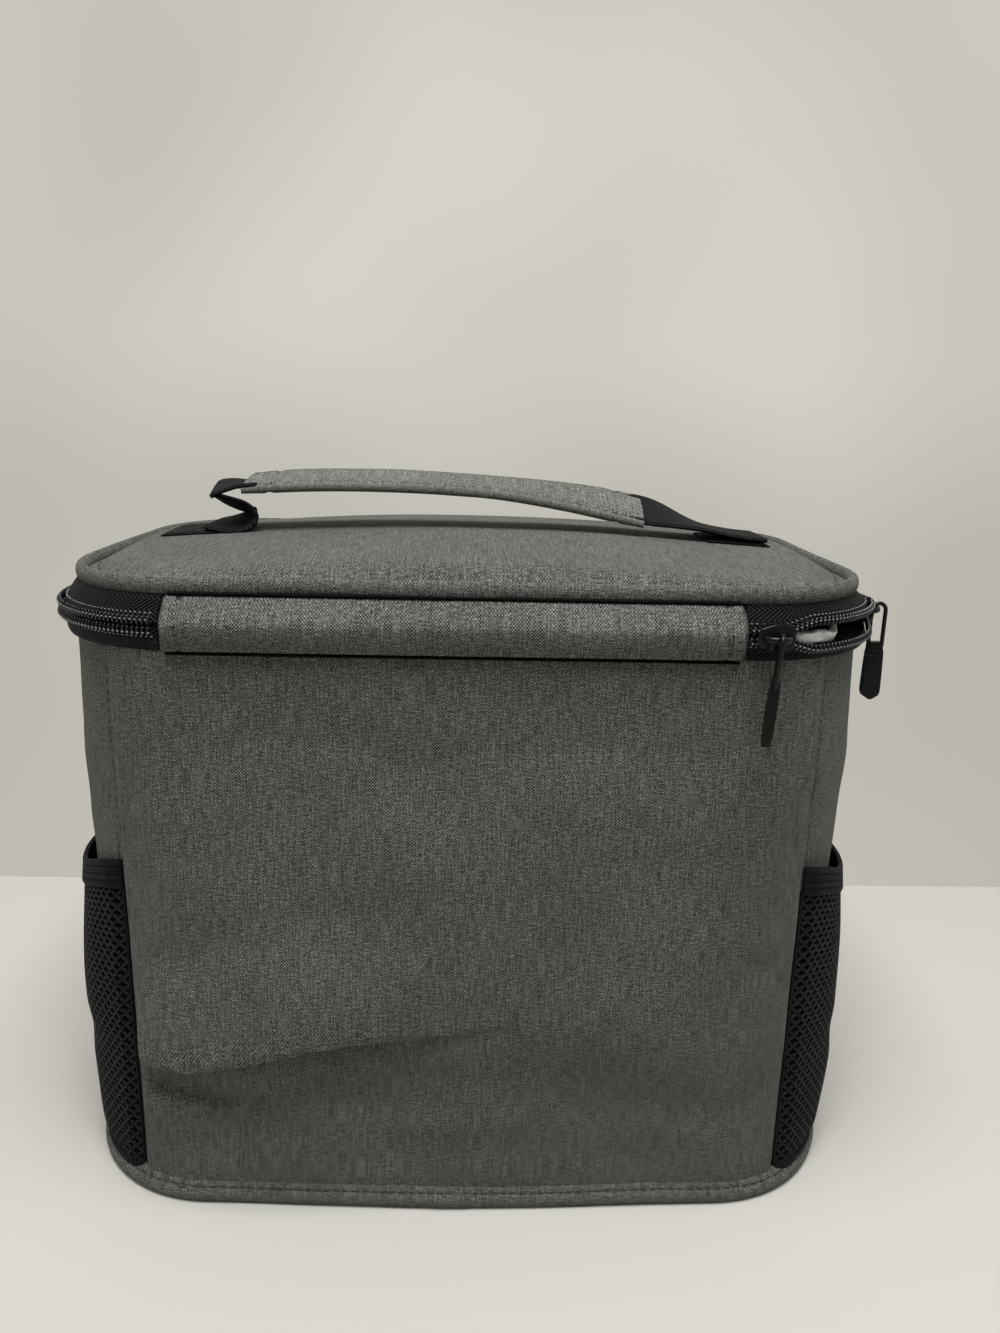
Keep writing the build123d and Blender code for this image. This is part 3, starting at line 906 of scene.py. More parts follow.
class LUNCHBAG_OT_pockets(bpy.types.Operator):
    """Makes the mesh pockets with their open holes and the ribbed elastic along their tops"""

    bl_idname = "lunchbag.pockets"
    bl_label = "Side pockets"

    def execute(self, context):
        half = ROUND_TRIP / 2
        for side, start, end in (
            ("right", SEAM_S, half - SEAM_S),
            ("left", half + SEAM_S, ROUND_TRIP - SEAM_S),
        ):
            self.mesh(side, start, end)
            self.elastic(side, start, end)
            self.hem(side, start, end)
        return {"FINISHED"}

    def belly(self, s, start, end, z):
        """How far the pocket stands off the plan."""
        t = (s - start) / (end - start)
        across = min(ease(t / 0.2), ease((1 - t) / 0.2))
        tucked = 1 - min(ease(t / 0.025), ease((1 - t) / 0.025))
        rise = (z - POCKET_LOW) / (POCKET_TOP - POCKET_LOW)
        full = 1.6 * MM - 1.2 * MM * rise**3 + 2.6 * MM * sin(pi * min(max(rise, 0.0), 1.0))
        foot = ease(rise / 0.06)
        soft = 1.1 * MM * noise.noise(Vector((s * 35, z * 22, 2.0))) * (1 - rise**2)
        near = abs(signed(s))
        kink = 2.0 * MM * ease(1 - abs(z - 0.049) / 0.012) * ease(1 - (near - SEAM_S) / 0.05)
        return 0.9 * MM + (full * foot + soft - kink) * across - 1.8 * MM * tucked

    def dip(self, s, start, end, z):
        """How far the pocket's elastic top is drawn down between its seams."""
        t = (s - start) / (end - start)
        rise = (z - POCKET_LOW) / (POCKET_TOP - POCKET_LOW)
        return 9 * MM * min(ease(t / 0.2), ease((1 - t) / 0.2)) * rise**1.5

    def mesh(self, side, start, end):
        """A knit with staggered holes, laid over the pocket's belly."""
        wide, high = sizes().mesh_wide, sizes().mesh_high
        length, tall = end - start, ELASTIC_LOW + 1 * MM - POCKET_LOW
        count = int((length / wide + tall / high)) + 2
        net = grid(f"{side}_net", (0, count), (0, count), count, count)
        for vertex in net.data.vertices:
            i, j = vertex.co.x, vertex.co.y
            u = (i + j) * wide / 2 - tall * wide / high / 2 - wide
            vertex.co = Vector((u, (i - j) * high / 2 + tall / 2, 0))
        pick(net)
        bpy.ops.object.mode_set(mode="EDIT")
        left, right = ((0, 0, 0), (-1, 0, 0)), ((length, 0, 0), (1, 0, 0))
        foot, top = ((0, 0, 0), (0, -1, 0)), ((0, tall, 0), (0, 1, 0))
        for place, normal in (left, right, foot, top):
            bpy.ops.mesh.select_all(action="SELECT")
            bpy.ops.mesh.bisect(plane_co=place, plane_no=normal, clear_outer=True)
        bpy.ops.mesh.select_all(action="SELECT")
        bpy.ops.mesh.inset(thickness=0.46 * MM, use_individual=True, use_boundary=True)
        bpy.ops.object.mode_set(mode="OBJECT")
        cell = wide * high / 2
        inner = [p.select and p.area < 0.75 * cell for p in net.data.polygons]
        pick(net)
        bpy.ops.object.mode_set(mode="EDIT")
        bpy.ops.mesh.select_mode(type="FACE")
        bpy.ops.mesh.select_all(action="DESELECT")
        bpy.ops.object.mode_set(mode="OBJECT")
        for polygon, is_hole in zip(net.data.polygons, inner):
            polygon.select = is_hole
        bpy.ops.object.mode_set(mode="EDIT")
        bpy.ops.mesh.bevel(offset=0.5 * MM, segments=1, affect="VERTICES")
        bpy.ops.mesh.delete(type="FACE")
        bpy.ops.mesh.select_mode(type="VERT")
        bpy.ops.object.mode_set(mode="OBJECT")

        def place(u, v):
            s, z = start + u, POCKET_LOW + v
            return on_bag(s, self.belly(s, start, end, z), z - self.dip(s, start, end, z))

        lay(net, place)
        apply(net, "SOLIDIFY", thickness=0.9 * MM, offset=0.0)
        smooth(net, 50)
        finish_piece(net, "black_mesh", "bag")
        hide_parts(f"{side}_pocket_mesh")

        def follow(s, out, z):
            return self.belly(s, start, end, z), -self.dip(s, start, end, z)

        # A dark sheet just behind the mesh, seen through its holes: painted shade.
        rise = [POCKET_LOW + tall * i / 30 for i in range(31)]
        sheet = [(-0.55 * MM, z) for z in rise] + [(-0.85 * MM, z) for z in reversed(rise)]
        back = band(f"{side}_net_painted_shade", (start, end), sheet, 3 * MM, follow)
        finish_piece(back, "painted_shade_black", "bag")

    def elastic(self, side, start, end):
        """A band with four ribs, folded over the mesh's top edge."""
        ribs = 4
        low, high = ELASTIC_LOW, POCKET_TOP
        face = []
        for i in range(ribs * 6 + 1):
            t = i / (ribs * 6)
            bead = abs(sin(pi * t * ribs)) ** 0.6
            face.append(((0.55 + 0.55 * bead) * MM, low + (high - low) * t))
        back = [(-0.5 * MM, high - 0.2 * MM), (-0.5 * MM, low)]

        def follow(s, out, z):
            return self.belly(s, start, end, z) + 0.2 * MM, -self.dip(s, start, end, z)

        obj = band(f"{side}_elastic", (start, end), face + back, 2 * MM, follow)
        finish_piece(obj, "black_elastic", "bag")
        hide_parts(f"{side}_pocket_elastic")

    def hem(self, side, start, end):
        """The narrow turned edge along the pocket's foot, where it meets the base seam."""

        def follow(s, out, z):
            return self.belly(s, start, end, z), 0.0

        turned = oval(0.1 * MM, POCKET_LOW + 0.9 * MM, 1.1 * MM, 1.3 * MM, 10)
        obj = band(f"{side}_pocket_hem", (start, end), turned, 3 * MM, follow)
        finish_piece(obj, "black_webbing", "bag")


# ---------------------------------------------------------------- zip

SLIDER_A_S = STRAIGHT_X + RADIUS * radians(SLIDER_A_ANGLE)
SLIDER_B_S = STRAIGHT_X + QUARTER
ZIP_MIDDLE = CORNER.z
ZIP_START = STRIP_RIGHT
ZIP_END = ROUND_TRIP + STRIP_LEFT
START_PIECE_END = STRAIGHT_X + QUARTER * 0.8
END_PIECE_START = ZIP_END - 36 * MM


def gape(s):
    """How open the zip is, from 0 to 1: open only between the two sliders."""
    opening = ease((s - SLIDER_A_S - 3 * MM) / (11 * MM))
    return opening * ease((SLIDER_B_S - 1 * MM - s) / (13 * MM))


def row_shift(side):
    """Moves a row of the zip, and the edge of its tape, away from the middle where the zip is open."""

    def shift(s, out, z):
        near = 1 - min(abs(z - ZIP_MIDDLE) / (7.5 * MM), 1.0)
        return -0.5 * MM * gape(s) * near, side * sizes().zip_gap * gape(s) * min(near * 1.6, 1.0)

    return shift


def tape_out(z):
    """How far the zip's tape stands off the plan: most at its teeth, then drawn in under the lid's piping."""
    above = max(z - ZIP_MIDDLE - 0.9 * MM, 0.0) / (8.1 * MM)
    below = max(ZIP_MIDDLE - 0.9 * MM - z, 0.0) / (6.6 * MM)
    return 1.2 * MM - (RIM_IN + 0.2 * MM) * above**1.2 - 0.8 * MM * below


class LUNCHBAG_OT_zip(bpy.types.Operator):
    """Makes the zip's tapes, its two rows of coil and their sewing"""

    bl_idname = "lunchbag.zip"
    bl_label = "Zip"

    def execute(self, context):
        for side, label in ((-1, "lower"), (1, "upper")):
            stretches = (("", ZIP_START, ZIP_END),)
            if side > 0:
                stretches = (
                    ("_start", ZIP_START, START_PIECE_END),
                    ("", START_PIECE_END, END_PIECE_START),
                    ("_end", END_PIECE_START, ZIP_END),
                )
            for ending, start, end in stretches:
                pieces = [
                    self.tape(f"{label}_tape{ending}", side, start, end),
                    self.coil(f"{label}_coil{ending}", side, start, end),
                    self.sewing(f"{label}_sewing{ending}", side, start, end, 3.3 * MM),
                    self.sewing(f"{label}_core{ending}", side, start, end, 1.9 * MM),
                ]
                for piece in pieces:
                    self.attach(piece, side, ending)
        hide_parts("lower_zip_tape")
        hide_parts("lower_zip_coil")
        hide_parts("upper_zip_tape")
        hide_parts("upper_zip_coil")
        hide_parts("upper_tape_fixed_end")
        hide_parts("upper_coil_fixed_end")
        return {"FINISHED"}

    def attach(self, piece, side, ending):
        """Joins a stretch to the bag or to the lid; a stretch that crosses the hinge only has its transform baked
        and stays on no body.
        """
        if side < 0:
            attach(piece, "bag")
        elif ending == "_start":
            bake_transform(piece)
        elif ending == "_end":
            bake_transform(piece)
        else:
            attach(piece, "lid")

    def tape(self, name, side, start, end):
        inner = ZIP_MIDDLE + side * 0.9 * MM
        outer = BAND_LOW if side < 0 else LID_LOW + 1.5 * MM
        rows = [inner + (outer - inner) * i / 6 for i in range(7)]
        front = [(tape_out(z) + (0.0 if i in (0, 6) else 0.35 * MM), z) for i, z in enumerate(rows)]
        back = [(tape_out(z) - 0.35 * MM, z) for z in reversed(rows)]
        obj = band(name, (start, end), front + back, 1.8 * MM, row_shift(side))
        obj.data.materials.append(finish("zip_tape_cloth"))
        return obj

    def coil(self, name, side, start, end):
        """One row of coil: each turn is a rounded tooth that leans slightly along the row."""
        tooth = ball("tooth", (0.80 * MM, 1.9 * MM, 2.9 * MM), 8, 6)
        middle = ZIP_MIDDLE + side * 1.55 * MM
        half_step = 0.25 * sizes().tooth * side
        return self.row(name, tooth, side, start, end, 2.45 * MM, middle, "coil_nylon", half_step, 0.12)

    def sewing(self, name, side, start, end, up):
        """The row of short stitches that holds the coil to its tape, in pale grey thread as a painted glint."""
        bead = ball("bead", (0.85 * MM, 0.55 * MM, 0.5 * MM), 6, 5)
        middle = ZIP_MIDDLE + side * up
        out = tape_out(middle) + 0.4 * MM if up > 3 * MM else 3.25 * MM
        return self.row(name, bead, side, start, end, out, middle, "thread_painted_glint")

    def row(self, name, template, side, start, end, out, middle, material, half_step=0.0, lean=0.0):
        """Repeats a small piece along one row of the zip, leaning along it and slimmer away from its middle."""
        shift = row_shift(side)
        pitch = sizes().tooth

        def at(spot):
            def place(co):
                s = spot + co.x + lean * co.z
                more_out, more_z = shift(spot, 0.0, middle)
                slim = 1 - lean * abs(co.z) / MM
                return on_bag(s, out + co.y * slim + more_out, middle + co.z + more_z)

            return place

        places = [at(start + (i + 0.5) * pitch + half_step) for i in range(int((end - start) / pitch))]
        obj = repeat(name, template, places)
        remove(template)
        obj.data.materials.append(finish(material))
        return obj


class LUNCHBAG_OT_strip(bpy.types.Operator):
    """Makes the bulging strip that covers the hinge, with its hemmed ends"""

    bl_idname = "lunchbag.strip"
    bl_label = "Hinge strip"

    def execute(self, context):
        low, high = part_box("hinge_strip")[0].z - 0.2 * MM, LID_LOW + 0.8 * MM
        strip = grid("hinge_cover", (STRIP_LEFT, STRIP_RIGHT + 0.4 * MM), (low, high), 190, 30)
        half, middle = (STRIP_RIGHT - STRIP_LEFT) / 2, (STRIP_RIGHT + STRIP_LEFT) / 2
        halfway = (low + high) / 2

        def relief(x, z):
            t = (z - low) / (high - low)
            belly = sqrt(max(1 - (2 * t - 1) ** 2, 0.0))
            end = half - abs(x - middle)
            round_end = ease(end / (2.2 * MM))
            hem = 0.5 * MM * ease(1 - end / (6.0 * MM)) * ease(end / (1.5 * MM))
            groove = -0.9 * MM * ease(1 - abs(end - 5.6 * MM) / (1.2 * MM))
            pucker = 0.9 * MM * noise.noise(Vector((x * 60, z * 40, 7))) * ease(1 - abs(x - 0.032) / 0.03)
            wave = 0.6 * MM * noise.noise(Vector((x * 25, z * 70, 8)))
            tuck = -(RIM_IN - 0.4 * MM) * ease((t - 0.5) / 0.5)
            return (0.5 * MM + 4.2 * MM * belly) * round_end + tuck + hem + groove + (pucker + wave) * belly

        def place(x, z):
            end = half - abs(x - middle)
            draw = 0.8 * MM * ease(1 - end / (2.5 * MM))
            level = z + draw * (1 if z < halfway else -1) * ease(abs(z - halfway) / (5 * MM))
            return Vector((x, -HALF_DEPTH - relief(x, z), level))

        lay(strip, place)
        faces_out = strip.data.polygons[0].normal.y < 0
        apply(strip, "SOLIDIFY", thickness=0.8 * MM, offset=-1.0 if faces_out else 1.0)
        smooth(strip)
        blend = {"start": (0, HINGE.y, low + 2.5 * MM), "end": (0, HINGE.y, high - 1.5 * MM)}
        finish_piece(strip, "heather_cloth", "bag")
        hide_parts("hinge_strip")
        self.attach(strip, blend)
        # Two thin dark cords along the strip's lower and upper edges: painted shadow lines under the strip and
        # under the lid's piping.
        span = (STRIP_LEFT + 2 * MM, STRIP_RIGHT - 2 * MM)
        for label, level, out, body in (
            ("low", low - 0.35 * MM, 0.9 * MM, "bag"),
            ("high", high + 0.35 * MM, 0.5 * MM - RIM_IN + 1.5 * MM, "lid"),
        ):
            seam = band(f"hinge_painted_shadow_{label}", span, oval(out, level, 0.8 * MM, 0.55 * MM, 8), 3 * MM)
            finish_piece(seam, "painted_shade_black", body)
        ends = []
        for x in (STRIP_LEFT + 5.6 * MM, STRIP_RIGHT - 5.2 * MM):

            def up(t, x=x):
                return place(x, low + 1.5 * MM + t) + Vector((0, -0.05 * MM, 0)), Vector((0, -1, 0))

            ends += spots_along(up, high - low - 3 * MM, 2.6 * MM)
        stitches = sewn_line("hinge_stitches", ends, "bag", "thread_black", wide=0.62 * MM)
        self.attach(stitches, blend)
        return {"FINISHED"}

    def attach(self, piece, blend):
        """Takes a piece that crosses the hinge off its body and bakes its transform."""
        piece.parent = None
        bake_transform(piece)


# ---------------------------------------------------------------- lid

CROWN_X = 1150 * MM
CROWN_Y = 530 * MM
CROWN_TOP = 215 * MM


def crown(x, y):
    """The height of the lid's crown."""
    drop = CROWN_X - sqrt(CROWN_X**2 - x**2)
    ring = CROWN_Y - drop
    return CROWN_TOP - CROWN_Y + sqrt(ring**2 - y**2)


def inside(x, y):
    """The distance from a point inwards to the edge of the plan."""
    over_x, over_y = abs(x) - STRAIGHT_X, abs(y) - STRAIGHT_Y
    if over_x > 0 and over_y > 0:
        return RADIUS - sqrt(over_x**2 + over_y**2)
    return min(HALF_WIDTH - abs(x), HALF_DEPTH - abs(y))


def lid_height(x, y):
    """The height of the lid's cloth: plump over its padding, drawn down to the piping and the stitches there."""
    edge = max(inside(x, y) - RIM_IN, 0.0)
    low = LID_LOW + 2.6 * MM
    plump = 0.9 * MM * (1 - 0.6 * ease((edge - 14 * MM) / (45 * MM)))
    soft = 0.7 * MM * noise.noise(Vector((x * 18, y * 20, 6))) * ease((edge - 6 * MM) / (15 * MM))
    channel = -0.6 * MM * ease(1 - abs(edge - 4.4 * MM) / (1.6 * MM))
    shoulder = ease((edge + 0.5 * MM) / (11.5 * MM)) ** 0.85
    return low + (crown(x, y) - 0.6 * MM + plump - low) * shoulder + soft + channel


class LUNCHBAG_OT_lid(bpy.types.Operator):
    """Makes the lid's cloth, padding, lining, piping and stitches"""

    bl_idname = "lunchbag.lid"
    bl_label = "Lid"

    def disc(self, name, rings, inset_by, height):
        """A sheet over the plan, made of rings that shrink towards the middle, set at a height."""
        obj = grid(name, (0, ROUND_TRIP), (0, 1), int(ROUND_TRIP / (3 * MM)), rings)
        for vertex in obj.data.vertices:
            point, _ = plan(vertex.co.x, -inset_by)
            keep = 1 - vertex.co.y**1.35
            x, y = point.x * keep, point.y * keep
            vertex.co = Vector((x, y, height(x, y)))
        tidy(obj, 0.05 * MM)
        unwrap(obj)
        if obj.data.polygons[len(obj.data.polygons) // 2].normal.z < 0:
            edit(obj, (bpy.ops.mesh.flip_normals, {}))
        return obj

    def execute(self, context):
        cloth = self.disc("lid_cloth", 44, RIM_IN + 1.0 * MM, lid_height)
        apply(cloth, "SOLIDIFY", thickness=sizes().fabric, offset=-1.0)
        smooth(cloth)
        finish_piece(cloth, "heather_lid", "lid")
        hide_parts("lid_panel")

        def under_cloth(x, y):
            return lid_height(x, y) - sizes().fabric - 0.7 * MM

        padding = self.disc("lid_padding", 30, RIM_IN + 6.2 * MM, under_cloth)
        apply(padding, "SOLIDIFY", thickness=3.8 * MM, offset=-1.0)
        smooth(padding)
        finish_piece(padding, "foam_cells", "lid")
        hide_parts("lid_foam")

        lining = self.disc("lid_lining_film", 26, RIM_IN + 4.4 * MM, self.lining_height)
        apply(lining, "SOLIDIFY", thickness=0.5 * MM, offset=-1.0)
        smooth(lining)
        finish_piece(lining, "lining_film", "lid")
        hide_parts("lid_lining")
        self.edge()
        return {"FINISHED"}

    def lining_height(self, x, y):
        wrinkle = abs(noise.noise(Vector((x * 22, y * 28, 4))))
        height = lid_height(x, y) - 6.2 * MM - 1.0 * MM * wrinkle * ease(inside(x, y) / 0.03)
        return max(height, LID_LOW + 0.2 * MM)

    def edge(self):
        """The piping, its seam, the tape inside the edge and the line of stitches on the crown side."""
        middle = LID_LOW + 3.1 * MM

        def waver(s, out, z):
            more_out = 0.25 * MM * noise.noise(Vector((s * 30, 1, 2)))
            return more_out, 0.35 * MM * noise.noise(Vector((s * 18, 5, 2)))

        cord = oval(0.7 * MM - RIM_IN, middle, 1.8 * MM, 2.7 * MM, 14)
        piping = band("lid_piping_cord", (0, ROUND_TRIP), cord, 2 * MM, waver)
        finish_piece(piping, "heather_cloth", "lid")
        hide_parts("lid_piping")
        thicker = oval(0.8 * MM - RIM_IN, middle, 2.0 * MM, 2.85 * MM, 14)
        overlap = band("lid_piping_end", (-14 * MM, 9 * MM), thicker, 1 * MM, waver)
        finish_piece(overlap, "heather_cloth", "lid")
        seam = from_mm([(-5.4, 0.0), (1.3, 0.0), (1.6, 0.5), (1.3, 1.0), (-5.4, 0.9)], -RIM_IN, LID_LOW)
        tape = band("lid_tape", (0, ROUND_TRIP), seam, 3 * MM)
        finish_piece(tape, "black_webbing", "lid")
        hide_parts("lid_seam_tape")

        def run(t):
            point, _ = plan(t, -4.4 * MM - RIM_IN)
            return Vector((point.x, point.y, lid_height(point.x, point.y) + 0.1 * MM)), Vector((0, 0, 1))

        sewn_line("lid_stitches", spots_along(run, ROUND_TRIP), "lid", wide=0.5 * MM)


# ---------------------------------------------------------------- sliders and pulls


def slider_frame(angle):
    """A slider's own frame: X along the zip, -Y outwards and Z up, parked at an angle round the corner."""
    turn = radians(angle)
    place = CORNER + Vector((sin(turn), -cos(turn), 0)) * RADIUS
    return Matrix.Translation(place) @ Matrix.Rotation(turn, 4, "Z")


class LUNCHBAG_OT_sliders(bpy.types.Operator):
    """Makes the two sliders with their wire loops and moulded grips"""

    bl_idname = "lunchbag.sliders"
    bl_label = "Sliders and pulls"

    def execute(self, context):
        for letter, angle, nose in (("a", SLIDER_A_ANGLE, 1), ("b", SLIDER_B_ANGLE, -1)):
            here = slider_frame(angle)
            self.body(letter, here, nose)
            hang = here @ self.hang(letter)
            self.wire(letter, hang)
            self.grip(letter, hang)
        return {"FINISHED"}

    def hang(self, letter):
        """How a pull hangs from its bridge: the first one is turned and leans a little."""
        if letter == "b":
            return Matrix.Identity(4)
        pivot = Matrix.Translation((0, -PULL_OUT, 0))
        lean, turn = Matrix.Rotation(radians(4), 4, "Y"), Matrix.Rotation(radians(-17), 4, "Z")
        return pivot @ lean @ turn @ pivot.inverted()

    def block(self, size, centre, round_by, segments=3):
        """A rounded block in the slider's frame."""
        deselect()
        bpy.ops.mesh.primitive_cube_add(size=1)
        obj = bpy.context.object
        obj.data.transform(Matrix.Translation(centre) @ Matrix.Diagonal((*size, 1)))
        apply(obj, "BEVEL", width=round_by, segments=segments, limit_method="NONE")
        return obj

    def torus(self, thick, around):
        """A torus of radius 1 in the XY plane."""
        deselect()
        bpy.ops.mesh.primitive_torus_add(
            major_radius=1, minor_radius=thick, major_segments=around, minor_segments=12
        )
        return bpy.context.object

    def body(self, letter, here, nose):
        """Two rounded plates, the bar between them, the lips along the zip and the bridge for the pull."""
        pieces = []
        for depth, out in ((1.2, 4.1), (1.1, -1.5)):
            deselect()
            bpy.ops.mesh.primitive_cylinder_add(vertices=40, radius=0.5, depth=1, rotation=(pi / 2, 0, 0))
            plate = bpy.context.object
            bpy.ops.object.transform_apply(location=True, rotation=True, scale=True)
            for vertex in plate.data.vertices:
                x, z = vertex.co.x * 2, vertex.co.z * 2
                square = max(abs(x), abs(z), 1e-6) / max(sqrt(x * x + z * z), 1e-6)
                fuller = 1 / (0.45 + 0.55 * square)
                narrow = 1 - 0.2 * ease(x * -nose)
                vertex.co.x = x * fuller * 6.1 * MM * 0.92
                vertex.co.z = z * fuller * 4.4 * MM * 0.92 * narrow
                vertex.co.y = vertex.co.y * depth * MM - out * MM
            face_out(plate)
            apply(plate, "BEVEL", width=0.42 * MM, segments=3, limit_method="ANGLE")
            pieces.append(plate)
        pieces.append(self.block((3.6 * MM, 5.2 * MM, 1.0 * MM), (nose * 3.6 * MM, -1.4 * MM, 0), 0.3 * MM))
        for z in (-1, 1):
            centre = (-nose * 0.8 * MM, -3.2 * MM, z * 3.85 * MM)
            pieces.append(self.block((8.2 * MM, 1.2 * MM, 0.7 * MM), centre, 0.25 * MM))
        arch = self.torus(0.2, 40)
        for vertex in arch.data.vertices:
            x, y, z = vertex.co
            vertex.co = Vector((x * 3.75 * MM, -4.35 * MM - max(y, -0.35) * 3.3 * MM, z * 5.0 * MM))
        face_out(arch)
        pieces.append(arch)
        deselect()
        for piece in pieces:
            piece.select_set(True)
        bpy.context.view_layer.objects.active = pieces[0]
        bpy.ops.object.join()
        slider = bpy.context.object
        slider.name = f"slider_{letter}"
        slider.data.transform(here)
        smooth(slider, 35)
        finish_piece(slider, "black_enamel", f"slider_{letter}")
        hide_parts(f"slider_{letter}_body")

    def wire(self, letter, here):
        """The closed wire loop that hangs from the slider's bridge."""
        loop = self.torus(0.3, 56)
        radius, low = 2.3 * MM, -12.6 * MM
        for vertex in loop.data.vertices:
            x, y, z = vertex.co
            length = sqrt(x * x + y * y)
            ring = (x / length, y / length)
            tube = length - 1
            drop = -0.6 * MM if y >= 0 else low
            across = ring[0] * (radius + tube * radius)
            up = ring[1] * (radius * (1 if y >= 0 else 0.55) + tube * radius) + drop
            vertex.co = Vector((z * radius, -PULL_OUT - across, up))
        face_out(loop)
        loop.name = f"pull_wire_{letter}"
        loop.data.transform(here)
        smooth(loop)
        finish_piece(loop, "black_enamel", f"pull_{letter}")
        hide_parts(f"pull_{letter}_wire")

    def grip(self, letter, here):
        """The moulded grip: slim at the wire, rounded at its foot, with rows of small raised dots."""
        low, high = -31.0 * MM, -11.2 * MM
        middle = (0, -PULL_OUT, (low + high) / 2)
        grip = self.block((2.8 * MM, 6.3 * MM, high - low), middle, 0.01 * MM, 1)
        edit(grip, (bpy.ops.mesh.subdivide, {"number_cuts": 14}))
        for vertex in grip.data.vertices:
            co = vertex.co
            t = (co.z - low) / (high - low)
            foot = sqrt(max(1 - max(1 - t / 0.16, 0) ** 2, 0.0))
            neck = 1 - 0.30 * ease((t - 0.82) / 0.18)
            width = (0.84 + 0.16 * (1 - t)) * (0.12 + 0.88 * foot) * neck
            co.y = -PULL_OUT + (co.y + PULL_OUT) * width
            co.x *= 0.80 + 0.20 * sin(pi * min(max(t, 0), 1))
        apply(grip, "BEVEL", width=0.5 * MM, segments=3, limit_method="ANGLE")
        grip.name = f"pull_grip_{letter}"
        dot = ball("dot", (0.55 * MM, 0.9 * MM, 0.9 * MM), 8, 6)
        places = []
        for side in (-1, 1):
            for row in range(9):
                for column in (-1, 1):
                    across = -PULL_OUT + column * 1.15 * MM + 0.35 * MM * (row % 2)
                    up = -14.2 * MM - row * 1.75 * MM
                    places.append(here @ Matrix.Translation((side * 1.34 * MM, across, up)))
        dots = repeat(f"pull_dots_{letter}", dot, places)
        remove(dot)
        grip.data.transform(here)
        smooth(grip, 40)
        finish_piece(grip, "black_grip", f"pull_{letter}")
        finish_piece(dots, "black_enamel", f"pull_{letter}")
        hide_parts(f"pull_{letter}_tab")


# ---------------------------------------------------------------- handle

STRAP_CENTRE = Vector((-34 * MM, 0, (230 - 487) * MM))
STRAP_RADIUS = 487 * MM
STRAP_LEFT, STRAP_RIGHT = -79 * MM, 60 * MM


def strap(x):
    """The middle of the strap at x, and its up direction."""
    turn = asin((x - STRAP_CENTRE.x) / STRAP_RADIUS)
    up = Vector((sin(turn), 0, cos(turn)))
    return STRAP_CENTRE + up * STRAP_RADIUS, up


def strap_tilt(x):
    """How far the strap leans towards the hinge side: more at its right end."""
    return radians(8 + 9 * ease((x - 0.0) / 0.06))


def on_strap(x, across, rise):
    """A point on the strap's face, given along, across and up from its middle."""
    middle, up = strap(x)
    tilt = strap_tilt(x)
    wave = 0.5 * MM * sin(x * 60)
    side = Vector((0, cos(tilt), 0)) + up * sin(tilt)
    out = up * cos(tilt) - Vector((0, sin(tilt), 0))
    return middle + side * (across + wave) + out * rise


def route(points, count):
    """Evenly spread points on a smooth line through given (x, z) points."""
    spots = [Vector((p[0] * MM, 0, p[1] * MM)) for p in points]
    line = []
    for i in range(len(spots) - 1):
        before, after = spots[max(i - 1, 0)], spots[min(i + 2, len(spots) - 1)]
        a, b = spots[i], spots[i + 1]
        for k in range(12):
            t = k / 12
            square = (2 * before - 5 * a + 4 * b - after) * t**2
            cube = (3 * a - before - 3 * b + after) * t**3
            line.append(0.5 * ((2 * a) + (b - before) * t + square + cube))
    line.append(spots[-1])
    total = [0.0]
    for a, b in zip(line, line[1:]):
        total.append(total[-1] + (b - a).length)
    spread, j = [], 0
    for i in range(count + 1):
        goal = total[-1] * i / count
        while j < len(line) - 2 and total[j + 1] < goal:
            j += 1
        part = (goal - total[j]) / max(total[j + 1] - total[j], 1e-9)
        spread.append(line[j].lerp(line[j + 1], min(part, 1.0)))
    return spread, total[-1]


